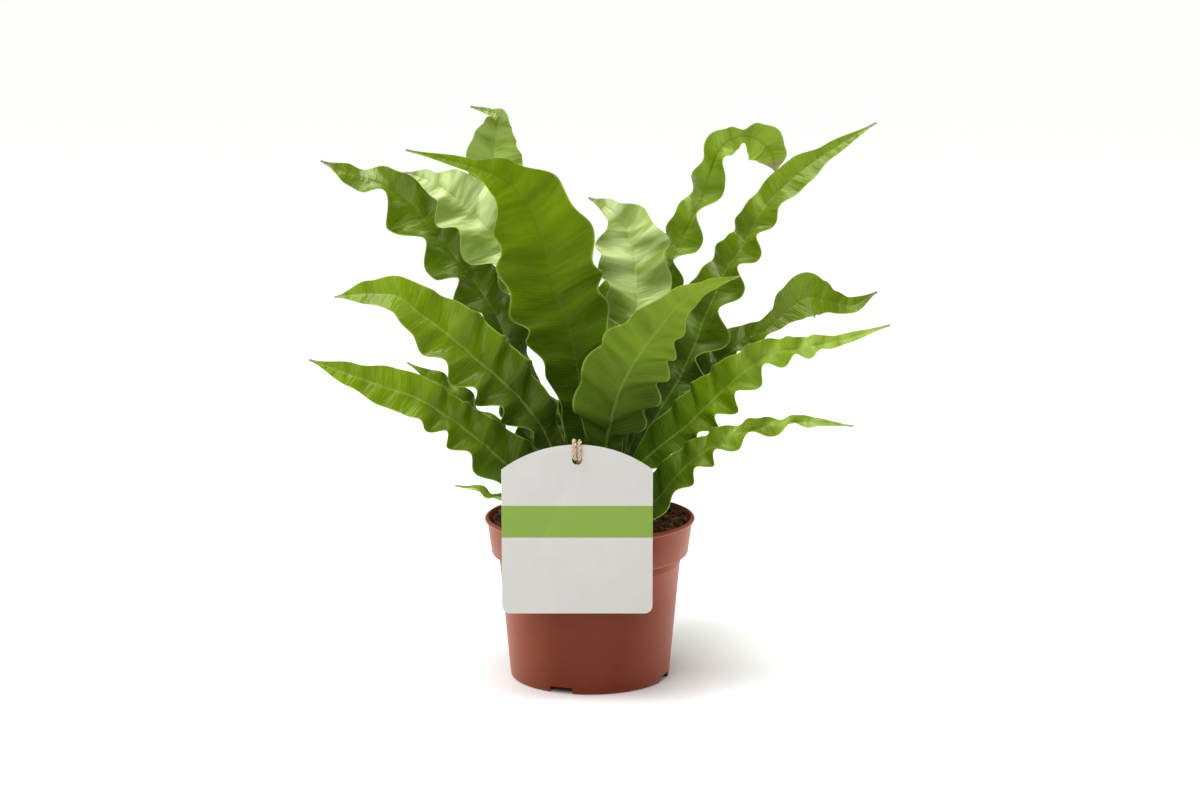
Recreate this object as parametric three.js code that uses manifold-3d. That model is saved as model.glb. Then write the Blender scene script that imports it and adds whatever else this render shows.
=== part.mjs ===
// A crispy wave fern in a 12 cm plastic nursery pot, with a hang tag on a twine tie.
// Millimetres, +Z up. The origin is the middle of the pot's underside, and the tag hangs
// at the front, towards -Y. Each frond, the crown, the soil, the pot, the tag and the tie
// is a mesh of its own.

import * as THREE from "three";
import { mergeVertices } from "three/addons/utils/BufferGeometryUtils.js";
import Module from "manifold-3d";

const wasm = await Module();
wasm.setup();

// Driving dimensions
const GAP = 0.3; // between pieces that touch
const POT_HEIGHT = 93;
const RIM_RADIUS = 60;
const COLLAR_HEIGHT = 20.5; // the wide band below the rim
const COLLAR_RADIUS = 56.2; // at its lower edge
const LEDGE = 2.2; // height of the slope between the wall and the collar
const WALL_TOP_RADIUS = 52.2; // just below the collar
const BASE_RADIUS = 45.6;
const POT_WALL = 1.2;
const RIM_LIP = 1.1; // how far the rounded rim stands out past the collar
const RIM_ROUND = 2.6; // height of the rounded rim
const FLOOR_LIFT = 3.5; // the drained floor stands this far above the ground
const FLOOR_SLOPE = 2.4; // height of the slope between the floor and the wall inside
const FOOT_RADIUS = 22; // the middle of the floor is pressed down to a flat foot
const FOOT_SLOPE = 2; // how far the foot's edge slopes out on its way up to the floor
const RING_WIDTH = 2.6; // of the ring that the pot stands on
const NOTCH_WIDTH = 14;
const NOTCH_DEPTH = 12; // how far in from the wall a notch's drain slot reaches
const NOTCH_TURN = -111; // degrees from +X to the notch left of the tag
const SLOT_LENGTH = 5; // of the drain slot through the floor at each notch
const SLOT_WIDTH = 3.6;
const POT_SIDES = 48;

const SOIL_HEIGHT = 86;
const SOIL_LUMPS = 1.4; // how far the peat's surface rises and falls
const CROWN_RADIUS = 29; // of the rhizome where it leaves the soil
const CROWN_DEPTH = 10; // of the rhizome below the soil's surface
const CROWN_TAPER = 4; // how much narrower the rhizome's underside is
const CROWN_DOME = 9; // of the rhizome above the soil's surface
const CROWN_SIDES = 24;

const STALK_FOOT = 80; // height of a stalk's cut end inside the crown
const STALK_NECK = 97; // height where a stalk is clear of the crown
const STALK_LEAN = 1.18; // the neck stands this many times as far out as the foot
const STALK_HALF_WIDTH = 2.4;
const STALK_HOLE_RADIUS = 3.1;

const BLADE_THICKNESS = 0.8;
const STALK_KEEL = 1.6; // extra depth of the midrib at the stalk
const TIP_KEEL = 0.2; // extra depth of the midrib at the tip
const BLADE_CUP = 0.22; // radians that both halves of a blade rise from its midrib
const WAVES_BEGIN = 0.2; // of a frond's length, where its waves start to grow
const WAVES_FULL = 0.42; // where they are full
const WAVES_END = 0.16; // of its length, over which they fade out towards the tip
const WAVE_DRIFT = 0.9; // how unevenly the waves are spaced, in radians
const DRIFT_SPAN = 3.7; // how slowly the spacing changes from wave to wave
const WAVE_SWELL = 0.25; // how unevenly high the waves are
const SWELL_SPAN = 5.3; // how slowly the height changes from wave to wave
const SCALLOP = 0.07; // how much each wave swells the outline
const SCALLOP_LEAD = 0.8; // radians by which the outline swells before the wave
const LEAST_WAVE = 1.2; // a wave lower than this is drawn with half the steps
const STEEPEST = 0.6; // cosine beyond which a sheet's corner gets no thicker

const TAG_WIDTH = 82.8;
const TAG_SHOULDER = 80.8; // height of its straight sides
const TAG_ARCH = 13.9; // rise of its curved top over the shoulders
const TAG_CORNER = 4.4;
const TAG_THICKNESS = 0.6;
const TAG_X = -6.7;
const TAG_BOTTOM = 51.3;
const TAG_HOLE_RADIUS = 2.75;
const TAG_HOLE_DROP = 8.3; // from the top of the arch to the middle of the hole
const TWINE_RADIUS = 1.2;
const TIED_FROND = "front";

// One entry for each frond. root is the stalk's place in the crown. Each spine point is
// x, y, z and the half width of the blade there. face is the way that the upper face looks,
// from the stalk to the tip. wave is the length of one wave, ruffle its height at the
// margin, start where in its first wave the blade begins, and lag how far the right
// margin's waves follow the left one's, both in turns. fade is where its waves start to
// fade out, as a share of its length: past it the blade ends in a smooth point.
const FRONDS = {
  left_high: {
    root: [-14, 1],
    spine: [
      [-27, 8, 141, 8],
      [-43, 24, 171, 12],
      [-53, 38, 199, 15],
      [-66, 47, 219, 17],
      [-79, 53, 235, 17],
      [-92, 57, 250, 19],
      [-105, 58, 266, 19],
      [-122, 57, 277, 12],
      [-140, 56, 283, 6],
      [-156, 54, 291, 0.6],
    ],
    face: [[0.6, -0.9, 0.2], [0.35, -0.85, 0.3], [0.2, -0.8, 0.6]],
    wave: 34,
    ruffle: 10,
    lag: 0.15,
    start: 0.2,
    fade: 0.84,
  },
  left_pale: {
    root: [-12, 8],
    spine: [
      [-10, 17, 152, 6],
      [-18, 25, 200, 10],
      [-29, 32, 220.5, 16],
      [-44, 39, 237.5, 21],
      [-59, 45, 252.5, 23.5],
      [-72, 50, 264, 21],
      [-83, 53, 273.5, 15],
      [-94, 54, 279.5, 7],
      [-107, 53, 284.5, 0.6],
    ],
    face: [[0.8, -0.8, 0.2], [0.2, -1, 0.5], [0.2, -0.8, 0.8]],
    wave: 25,
    ruffle: 6,
    lag: 0,
    start: 0.5,
    fade: 0.84,
  },
  top: {
    root: [-5, 6],
    spine: [
      [-2, 31, 145, 6],
      [-20, 54, 193, 9],
      [-42, 68, 237, 14],
      [-53, 76, 270, 16],
      [-57, 79, 291, 17],
      [-56, 80, 302, 13],
      [-54, 80, 310.5, 8.5],
      [-53, 80, 315, 4.5],
      [-59, 79, 317.5, 2.2],
      [-70, 76, 321, 0.6],
    ],
    face: [[0.4, -1, 0.2], [0.2, -1, 0.1], [0.1, -0.9, 0.5]],
    wave: 26,
    ruffle: 5,
    lag: 0,
    start: 0.17,
    fade: 0.64,
  },
  centre_broad: {
    root: [-1, -4],
    spine: [
      [-4, 4, 153, 13],
      [-12, 7, 199, 24],
      [-21, 9, 223, 28],
      [-27, 11, 249, 28],
      [-36, 12, 270, 23],
      [-49, 11, 284, 12],
      [-68, 9, 292, 4],
      [-103, 6, 301, 0.6],
    ],
    face: [[0.1, -1, 0.1], [0.1, -1, 0.1], [0.1, -0.8, 0.6]],
    wave: 24,
    ruffle: 3.6,
    lag: 0.7,
    start: 0,
    fade: 0.66,
  },
  centre_back: {
    root: [6, 4],
    spine: [
      [13, 12, 146, 7],
      [25, 26, 196, 17],
      [27, 38, 223, 19],
      [24, 47, 240.5, 21.5],
      [20, 53, 254.5, 15],
      [12, 55, 262.5, 6],
      [-1, 55, 269.5, 0.6],
    ],
    face: [[-0.2, -1, 0.2], [-0.1, -1, 0.5], [0, -0.8, 0.7]],
    wave: 24,
    ruffle: 5.5,
    lag: 0.4,
    start: 0.5,
    fade: 0.8,
  },
  right_ruffled: {
    root: [10, 11],
    spine: [
      [20, 24, 144.5, 6],
      [34, 47, 199, 11],
      [48.5, 59, 234, 11.5],
      [59.5, 64, 256, 11.5],
      [67, 66, 273, 11],
      [71.5, 67, 287, 8.5],
      [77, 67, 298, 10.5],
      [83.5, 66, 303, 7],
      [89.5, 64.5, 304.5, 3.8],
      [95.5, 63, 303.5, 9.5],
      [101.5, 61, 299.5, 12.5],
      [106, 58.5, 293, 9],
      [108, 56, 284, 0.6],
    ],
    face: [[-0.6, -1, 0.2], [-0.64, -0.77, 0], [-0.64, -0.77, 0], [0, -1, 0.1]],
    wave: 31,
    ruffle: 12,
    lag: 0.8,
    start: 0,
    fade: 0.75,
  },
  right_high: {
    root: [14, 3],
    spine: [
      [34, 8, 141, 8],
      [54, 14, 175, 16],
      [66, 20, 204, 18],
      [77, 24, 229, 14],
      [89, 27, 247, 11.5],
      [98, 29, 264, 10.5],
      [108, 31, 275, 10.5],
      [121, 34, 286.5, 10],
      [137, 37, 297.5, 5],
      [164, 40, 314, 0.6],
    ],
    face: [[-1, -0.6, 0.3], [-0.5, -0.8, 0.3], [-0.3, -0.8, 0.5]],
    wave: 26,
    ruffle: 8,
    lag: 0.4,
    start: 0.4,
    fade: 0.66,
  },
  front: {
    root: [4, -13],
    spine: [
      [9, -22, 138, 10],
      [12, -30, 154, 21],
      [17, -38, 173, 24],
      [26, -44, 191, 22],
      [37, -49, 207, 16],
      [50, -53, 223, 9],
      [64, -56, 232, 4],
      [81, -58, 238, 0.6],
    ],
    face: [[0, 1, 0.3], [-0.1, 1, 0.4], [-0.1, 1, 0.5]],
    wave: 19,
    ruffle: 3.3,
    lag: 0.5,
    start: 0,
    fade: 0.66,
  },
  right_back: {
    root: [21, 9],
    spine: [
      [37, 14, 135, 6],
      [58, 21, 161, 11],
      [73, 25, 177, 12],
      [88, 28, 189, 12],
      [101, 29, 196, 6],
      [109, 30, 202, 7],
      [117, 32, 209, 12],
      [126, 33, 214, 15],
      [133, 34, 213, 11],
      [140, 34, 211, 7],
      [151, 35, 209, 5],
      [166, 36, 217, 0.6],
    ],
    face: [[-1, -0.4, 0.5], [-0.3, -0.6, 0.6], [-0.1, -0.9, 0.4]],
    wave: 20,
    ruffle: 5.5,
    lag: 0,
    start: 0.67,
    fade: 0.56,
  },
  right_long: {
    root: [12, -7],
    spine: [
      [27, -9, 122, 7],
      [40, -14, 136, 14],
      [54, -18, 148, 16],
      [67, -22, 162, 16],
      [82, -26, 177, 14],
      [98, -30, 190, 10],
      [118, -33, 195, 7],
      [140, -36, 200, 3.5],
      [165, -38, 208.5, 0.6],
    ],
    face: [[-0.8, -0.5, 0.5], [-0.4, -0.75, 0.5], [-0.2, -0.7, 0.7]],
    wave: 18.5,
    ruffle: 4.5,
    lag: 0,
    start: 0.4,
    fade: 0.74,
  },
  right_low: {
    root: [19, -13],
    spine: [
      [36, -30, 107, 17],
      [51, -40, 127, 12.5],
      [66, -46, 141, 10],
      [80, -50, 149, 8],
      [97, -53, 154.5, 6],
      [115, -55, 157.5, 4],
      [144, -56, 155.5, 0.6],
    ],
    face: [[-0.5, -0.4, 0.8], [-0.2, -0.7, 0.7], [-0.1, -0.6, 0.8]],
    wave: 19,
    ruffle: 4,
    lag: 0.2,
    start: 0,
    fade: 0.76,
  },
  left_middle: {
    root: [-12, -6],
    spine: [
      [-21, -10, 132, 9],
      [-32, -14, 154, 15],
      [-48, -20, 173, 20],
      [-64, -25, 188, 21],
      [-80, -29, 203, 20],
      [-93, -31, 213, 16],
      [-106, -33, 223.5, 12],
      [-121, -34, 225, 8],
      [-140, -35, 223.5, 0.6],
    ],
    face: [[0.8, -0.5, 0.4], [0.35, -0.85, 0.4], [0.2, -0.7, 0.7]],
    wave: 23,
    ruffle: 6,
    lag: 0.8,
    start: 0,
    fade: 0.66,
  },
  left_low: {
    root: [-7, -13],
    spine: [
      [-25, -27, 113, 14],
      [-45, -32, 128, 19],
      [-63, -37, 145, 15],
      [-79, -41, 158, 13],
      [-96, -44, 169, 13],
      [-112, -46, 175, 12],
      [-130, -48, 182, 7],
      [-153, -49, 191, 0.6],
    ],
    face: [[0.5, -0.5, 0.7], [0.3, -0.8, 0.5], [0.2, -0.9, 0.4]],
    wave: 20,
    ruffle: 5,
    lag: 0,
    start: 0.75,
    fade: 0.56,
  },
  left_inner: {
    root: [-22, -2],
    spine: [
      [-37, -2, 122, 11],
      [-52, 1, 137, 9],
      [-67, 4, 152, 9],
      [-83, 7, 166, 8],
      [-104, 9, 180, 0.6],
    ],
    face: [[0.8, -0.4, 0.6], [0.4, -0.6, 0.7]],
    wave: 21,
    ruffle: 5,
    lag: 0.7,
    start: 0,
    fade: 0.76,
  },
  left_young: {
    root: [-19, -13],
    spine: [
      [-33, -39, 107, 4.5],
      [-50, -45, 112.5, 5],
      [-62, -48, 118, 4],
      [-74, -50, 121, 0.6],
    ],
    face: [[0.3, 0.2, 1], [0, -0.3, 1]],
    wave: 16,
    ruffle: 1.5,
    lag: 0.3,
    start: 0,
    fade: 0.84,
  },
  back_left_high: {
    root: [-8, 13],
    spine: [
      [-10, 42, 148, 9],
      [-19, 69, 196, 13],
      [-30, 98, 236, 16],
      [-46, 130, 250, 9],
      [-56, 158, 245, 0.6],
    ],
    face: [[0.4, -1, 0.4], [0.3, -0.9, 0.7], [0.2, -0.4, 1]],
    wave: 25,
    ruffle: 6,
    lag: 0.4,
    start: 0,
    fade: 0.74,
  },
  back_high: {
    root: [2, 14],
    spine: [
      [9, 40, 145, 9],
      [16, 73, 193, 17],
      [29, 104, 224, 16],
      [34, 140, 230, 8],
      [36, 168, 222, 0.6],
    ],
    face: [[-0.2, -1, 0.4], [-0.2, -0.9, 0.7], [-0.1, -0.4, 1]],
    wave: 24,
    ruffle: 6,
    lag: 0.6,
    start: 0,
    fade: 0.74,
  },
  back_right: {
    root: [17, 17],
    spine: [
      [40, 30, 126, 9],
      [61, 54, 150, 14],
      [77, 78, 158, 11],
      [89, 102, 154, 6],
      [97, 120, 146, 0.6],
    ],
    face: [[-0.7, -0.5, 0.6], [-0.4, -0.3, 1]],
    wave: 22,
    ruffle: 5,
    lag: 0.3,
    start: 0,
    fade: 0.74,
  },
  back_left_low: {
    root: [-18, 14],
    spine: [
      [-30, 40, 118, 9],
      [-45, 70, 149, 15],
      [-58, 98, 167, 12],
      [-68, 122, 174, 6],
      [-75, 138, 171, 0.6],
    ],
    face: [[0.6, -0.6, 0.6], [0.3, -0.3, 1]],
    wave: 22,
    ruffle: 5,
    lag: 0.5,
    start: 0,
    fade: 0.74,
  },
  back_low: {
    root: [-4, 22],
    spine: [
      [-10, 46, 120, 10],
      [-16, 78, 138, 16],
      [-20, 110, 140, 12],
      [-22, 136, 132, 6],
      [-23, 156, 120, 0.6],
    ],
    face: [[0, -1, 0.7], [0, -0.4, 1]],
    wave: 20,
    ruffle: 5,
    lag: 0.4,
    start: 0,
    fade: 0.74,
  },
  back_right_low: {
    root: [10, 21],
    spine: [
      [24, 42, 118, 9],
      [44, 70, 134, 14],
      [60, 98, 134, 11],
      [70, 122, 124, 5],
      [76, 138, 114, 0.6],
    ],
    face: [[-0.4, -0.8, 0.7], [-0.2, -0.4, 1]],
    wave: 20,
    ruffle: 5,
    lag: 0.6,
    start: 0,
    fade: 0.74,
  },
};

const radians = THREE.MathUtils.degToRad;
const lerp = THREE.MathUtils.lerp;
const smoothstep = THREE.MathUtils.smoothstep;

function solidFrom(geometry) {
  const bare = geometry.clone();
  bare.deleteAttribute("normal");
  bare.deleteAttribute("uv");
  const merged = mergeVertices(bare, 1e-4);
  return new wasm.Manifold(
    new wasm.Mesh({
      numProp: 3,
      vertProperties: merged.attributes.position.array,
      triVerts: new Uint32Array(merged.index.array),
    }),
  );
}

function geometryFrom(solid) {
  const mesh = solid.getMesh();
  const geometry = new THREE.BufferGeometry();
  geometry.setAttribute("position", new THREE.BufferAttribute(mesh.vertProperties, 3));
  geometry.setIndex(new THREE.BufferAttribute(mesh.triVerts, 1));
  return geometry;
}

// A lathe stands along +Z here. Its profile is a list of [radius, height].
function lathe(profile, sides) {
  const points = profile.map(([radius, height]) => new THREE.Vector2(radius, height));
  return new THREE.LatheGeometry(points, sides).rotateX(Math.PI / 2);
}

// The pot

// The collar leans out towards the rim, and the wall below it leans in to the base.
function wallRadius(height) {
  const collarFoot = POT_HEIGHT - COLLAR_HEIGHT;
  if (height >= collarFoot)
    return lerp(COLLAR_RADIUS, RIM_RADIUS - RIM_LIP, (height - collarFoot) / COLLAR_HEIGHT);
  return lerp(BASE_RADIUS, WALL_TOP_RADIUS, height / collarFoot);
}

function potGeometry() {
  const collarFoot = POT_HEIGHT - COLLAR_HEIGHT;
  const ledgeFoot = collarFoot - LEDGE;
  const floor = FLOOR_LIFT + POT_WALL;
  const inner = (height) => wallRadius(height) - POT_WALL;
  const profile = [
    [0, 0],
    [FOOT_RADIUS, 0],
    [FOOT_RADIUS + FOOT_SLOPE, FLOOR_LIFT],
    [BASE_RADIUS - 1.2 * RING_WIDTH, FLOOR_LIFT],
    [BASE_RADIUS - RING_WIDTH, 0],
    [BASE_RADIUS - 0.4 * RING_WIDTH, 0],
    [wallRadius(0.5 * RING_WIDTH), 0.5 * RING_WIDTH],
    [wallRadius(ledgeFoot), ledgeFoot],
    [COLLAR_RADIUS, collarFoot],
    [wallRadius(POT_HEIGHT - RIM_ROUND), POT_HEIGHT - RIM_ROUND],
    [RIM_RADIUS - 0.06 * RIM_ROUND, POT_HEIGHT - 0.8 * RIM_ROUND],
    [RIM_RADIUS, POT_HEIGHT - 0.46 * RIM_ROUND],
    [RIM_RADIUS - 0.15 * RIM_ROUND, POT_HEIGHT - 0.12 * RIM_ROUND],
    [RIM_RADIUS - RIM_LIP, POT_HEIGHT],
    [inner(POT_HEIGHT), POT_HEIGHT - 0.2 * RIM_ROUND],
    [COLLAR_RADIUS - POT_WALL, collarFoot + 0.5 * LEDGE],
    [inner(ledgeFoot), ledgeFoot + 0.3 * LEDGE],
    [inner(floor + FLOOR_SLOPE), floor + FLOOR_SLOPE],
    [BASE_RADIUS - FLOOR_SLOPE, floor],
    [FOOT_RADIUS + 0.7 * FOOT_SLOPE, floor],
    [FOOT_RADIUS - 0.5 * FOOT_SLOPE, POT_WALL],
    [0, POT_WALL],
  ];
  let pot = solidFrom(lathe(profile, POT_SIDES));
  for (let quarter = 0; quarter < 4; quarter += 1) {
    const turn = radians(NOTCH_TURN + 90 * quarter);
    const notch = new THREE.BoxGeometry(NOTCH_DEPTH, NOTCH_WIDTH, 2 * FLOOR_LIFT)
      .translate(BASE_RADIUS, 0, 0)
      .rotateZ(turn);
    const slot = new THREE.BoxGeometry(SLOT_LENGTH, SLOT_WIDTH, 3 * floor)
      .translate(BASE_RADIUS - NOTCH_DEPTH + SLOT_LENGTH, 0, 0)
      .rotateZ(turn);
    pot = pot.subtract(solidFrom(notch)).subtract(solidFrom(slot));
  }
  return geometryFrom(pot);
}

// The peat fills the pot, with a pocket in its top for the crown.
function soilGeometry() {
  const collarFoot = POT_HEIGHT - COLLAR_HEIGHT;
  const room = POT_WALL + 2 * GAP;
  const pocket = CROWN_RADIUS + GAP;
  const pocketFloor = SOIL_HEIGHT - CROWN_DEPTH - GAP;
  const floor = FLOOR_LIFT + POT_WALL + GAP;
  const edge = wallRadius(SOIL_HEIGHT) - room;
  const profile = [
    [0, floor],
    [BASE_RADIUS - 1.5 * FLOOR_SLOPE, floor],
    [wallRadius(floor + FLOOR_SLOPE) - room, floor + FLOOR_SLOPE],
    [wallRadius(collarFoot - LEDGE) - room, collarFoot - 0.5 * LEDGE],
    [COLLAR_RADIUS - room, collarFoot + LEDGE],
    [edge, SOIL_HEIGHT - SOIL_LUMPS],
    [lerp(pocket, edge, 0.8), SOIL_HEIGHT],
    [lerp(pocket, edge, 0.55), SOIL_HEIGHT],
    [lerp(pocket, edge, 0.28), SOIL_HEIGHT],
    [pocket, SOIL_HEIGHT],
    [pocket - CROWN_TAPER, pocketFloor],
    [0, pocketFloor],
  ];
  const geometry = lathe(profile, POT_SIDES);
  const place = geometry.attributes.position;
  for (let i = 0; i < place.count; i += 1) {
    const radius = Math.hypot(place.getX(i), place.getY(i));
    const onTop = place.getZ(i) > SOIL_HEIGHT - GAP;
    const inside = radius > pocket + 1 && radius < edge - 1;
    if (onTop && inside) {
      const angle = Math.atan2(place.getY(i), place.getX(i));
      const lump = Math.sin(7 * angle + radius) * Math.cos(11 * angle - 0.6 * radius);
      place.setZ(i, SOIL_HEIGHT + SOIL_LUMPS * lump);
    }
  }
  return geometryFrom(solidFrom(geometry));
}

// The fronds

// The foot of a stalk, its middle and its neck stand in one line.
function stalkPoint(root, share) {
  const spread = lerp(1, STALK_LEAN, share);
  return new THREE.Vector3(
    root[0] * spread,
    root[1] * spread,
    lerp(STALK_FOOT, STALK_NECK, share),
  );
}

// Cosine steps between the values of a list, at a place counted in entries.
function between(values, place) {
  const low = Math.min(Math.floor(place), values.length - 2);
  const share = 0.5 - 0.5 * Math.cos(Math.PI * (place - low));
  return lerp(values[low], values[low + 1], share);
}

function faceAt(face, share) {
  const place = share * (face.length - 1);
  const low = Math.min(Math.floor(place), face.length - 2);
  const from = new THREE.Vector3(...face[low]);
  return from.lerp(new THREE.Vector3(...face[low + 1]), place - low);
}

// The left margin, the midrib and the right margin of each cross section, and its share of
// the frond's length. Sections stand a quarter of a wave apart.
function bladeSections({ root, spine, face, wave, ruffle, lag, start, fade }) {
  const points = [0, 0.5, 1].map((share) => stalkPoint(root, share));
  points.push(...spine.map(([x, y, z]) => new THREE.Vector3(x, y, z)));
  const stalkWidths = [STALK_HALF_WIDTH, STALK_HALF_WIDTH, STALK_HALF_WIDTH];
  const widths = [...stalkWidths, ...spine.map((point) => point[3])];
  const curve = new THREE.CatmullRomCurve3(points, false, "centripetal");
  const length = curve.getLength();
  const quarters = Math.round((4 * length) / wave);
  const drift = (phase) => phase + WAVE_DRIFT * Math.sin(phase / DRIFT_SPAN + 9 * lag);
  const lastPhase = (quarters * Math.PI) / 2;
  const sections = [];
  let skipped = false;
  for (let quarter = 0; quarter <= quarters; quarter += 1) {
    const phase = (quarter * Math.PI) / 2;
    const share = (drift(phase) - drift(0)) / (drift(lastPhase) - drift(0));
    const faded = smoothstep(share, fade, fade + WAVES_END);
    const grown = smoothstep(share, WAVES_BEGIN, WAVES_FULL) * (1 - faded);
    const swell = 1 + WAVE_SWELL * Math.sin(phase / SWELL_SPAN + 5 * lag);
    const height = ruffle * grown * swell;
    const inside = quarter > 1 && quarter < quarters - 1;
    skipped = inside && height < LEAST_WAVE && !skipped;
    if (skipped) continue;

    const place = curve.getUtoTmapping(share) * (points.length - 1);
    const half = between(widths, place);
    const middle = curve.getPointAt(share);
    const along = curve.getTangentAt(share);
    const up = faceAt(face, share);
    up.addScaledVector(along, -up.dot(along)).normalize();
    const across = new THREE.Vector3().crossVectors(along, up);
    const margins = [0, lag].map((behind, side) => {
      const sign = side === 0 ? -1 : 1;
      const turn = phase + 2 * Math.PI * (start + behind);
      const tilt = BLADE_CUP + Math.atan2(height, half) * Math.sin(turn);
      const width = half * (1 + SCALLOP * grown * Math.cos(turn + SCALLOP_LEAD));
      return middle
        .clone()
        .addScaledVector(across, sign * width * Math.cos(tilt))
        .addScaledVector(up, width * Math.sin(tilt));
    });
    sections.push({ row: [margins[0], middle, margins[1]], share });
  }
  return sections;
}

// The normals of a sheet's corners, each with the share of the thickness that keeps the
// sheet as thick on its slopes as where it is flat.
function sheetNormals(points, triangles) {
  const sums = points.map(() => new THREE.Vector3());
  const faces = triangles.map(([a, b, c]) => {
    const ab = new THREE.Vector3().subVectors(points[b], points[a]);
    const ac = new THREE.Vector3().subVectors(points[c], points[a]);
    return ab.cross(ac).normalize();
  });
  triangles.forEach((corners, i) => corners.forEach((corner) => sums[corner].add(faces[i])));
  sums.forEach((sum) => sum.normalize());
  const stretch = points.map(() => 1);
  triangles.forEach((corners, i) =>
    corners.forEach((corner) => {
      const slope = Math.max(sums[corner].dot(faces[i]), STEEPEST);
      stretch[corner] = Math.max(stretch[corner], 1 / slope);
    }),
  );
  return sums.map((sum, i) => sum.multiplyScalar(stretch[i]));
}

// A blade is one sheet, thickened to both sides. Both faces are split into the same
// triangles, and the midrib stands out of the lower face as a keel.
function bladeGeometry(frond) {
  const sections = bladeSections(frond);
  const points = sections.flatMap((section) => section.row);
  const count = points.length;
  const sheet = [];
  for (let row = 0; row + 1 < sections.length; row += 1) {
    for (let side = 0; side < 2; side += 1) {
      const a = 3 * row + side;
      const b = a + 1;
      const c = a + 3;
      const d = a + 4;
      if (side === 0) sheet.push([a, b, d], [a, d, c]);
      else sheet.push([a, b, c], [b, d, c]);
    }
  }
  const normals = sheetNormals(points, sheet);
  const upper = points.map((point, i) =>
    point.clone().addScaledVector(normals[i], BLADE_THICKNESS / 2),
  );
  const lower = points.map((point, i) => {
    const share = sections[Math.floor(i / 3)].share;
    const keel = i % 3 === 1 ? lerp(STALK_KEEL, TIP_KEEL, Math.sqrt(share)) : 0;
    return point.clone().addScaledVector(normals[i], -BLADE_THICKNESS / 2 - keel);
  });
  const index = [];
  sheet.forEach(([a, b, c]) => index.push(a, b, c, count + a, count + c, count + b));
  const wall = (a, b) => index.push(a, count + a, count + b, a, count + b, b);
  for (let row = 0; row + 1 < sections.length; row += 1) {
    wall(3 * row + 3, 3 * row);
    wall(3 * row + 2, 3 * row + 5);
  }
  const last = 3 * (sections.length - 1);
  for (let side = 0; side < 2; side += 1) {
    wall(side, side + 1);
    wall(last + side + 1, last + side);
  }
  const geometry = new THREE.BufferGeometry();
  const flat = [...upper, ...lower].flatMap((point) => point.toArray());
  geometry.setAttribute("position", new THREE.Float32BufferAttribute(flat, 3));
  geometry.setIndex(index);
  return geometry;
}

// The rhizome is a low dome, with a plain hole for each stalk.
function crownGeometry() {
  const foot = SOIL_HEIGHT - CROWN_DEPTH;
  const profile = [[0, foot], [CROWN_RADIUS - CROWN_TAPER, foot], [CROWN_RADIUS, SOIL_HEIGHT]];
  for (let step = 1; step <= 3; step += 1) {
    const angle = (step * Math.PI) / 6;
    const height = SOIL_HEIGHT + CROWN_DOME * Math.sin(angle);
    profile.push([step === 3 ? 0 : CROWN_RADIUS * Math.cos(angle), height]);
  }
  let crown = solidFrom(lathe(profile, CROWN_SIDES));
  for (const { root } of Object.values(FRONDS)) {
    const bottom = stalkPoint(root, 0);
    const lean = stalkPoint(root, 1).sub(bottom).normalize();
    const depth = 2 * (STALK_NECK - STALK_FOOT);
    const turn = new THREE.Quaternion().setFromUnitVectors(new THREE.Vector3(0, 1, 0), lean);
    const hole = new THREE.CylinderGeometry(STALK_HOLE_RADIUS, STALK_HOLE_RADIUS, depth, 10)
      .translate(0, depth / 2 - GAP, 0)
      .applyQuaternion(turn)
      .translate(bottom.x, bottom.y, bottom.z);
    crown = crown.subtract(solidFrom(hole));
  }
  return geometryFrom(crown);
}

// The tag and its tie

const TAG_BACK_Y = -RIM_RADIUS - GAP - 0.05;
const TAG_TOP = TAG_BOTTOM + TAG_SHOULDER + TAG_ARCH;

function tagGeometry() {
  const half = TAG_WIDTH / 2;
  const radius = (half * half + TAG_ARCH * TAG_ARCH) / (2 * TAG_ARCH);
  const spread = Math.asin(half / radius);
  const crest = TAG_SHOULDER + TAG_ARCH;
  const card = new THREE.Shape();
  card.moveTo(-half + TAG_CORNER, 0);
  card.lineTo(half - TAG_CORNER, 0);
  card.absarc(half - TAG_CORNER, TAG_CORNER, TAG_CORNER, -Math.PI / 2, 0);
  card.lineTo(half, TAG_SHOULDER);
  card.absarc(0, crest - radius, radius, Math.PI / 2 - spread, Math.PI / 2 + spread);
  card.lineTo(-half, TAG_CORNER);
  card.absarc(-half + TAG_CORNER, TAG_CORNER, TAG_CORNER, Math.PI, 1.5 * Math.PI);
  const hole = new THREE.Path();
  hole.absarc(0, crest - TAG_HOLE_DROP, TAG_HOLE_RADIUS, 0, 2 * Math.PI, true);
  card.holes.push(hole);
  const options = { depth: TAG_THICKNESS, bevelEnabled: false, curveSegments: 8 };
  return new THREE.ExtrudeGeometry(card, options)
    .rotateX(Math.PI / 2)
    .translate(TAG_X, TAG_BACK_Y, TAG_BOTTOM);
}

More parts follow.
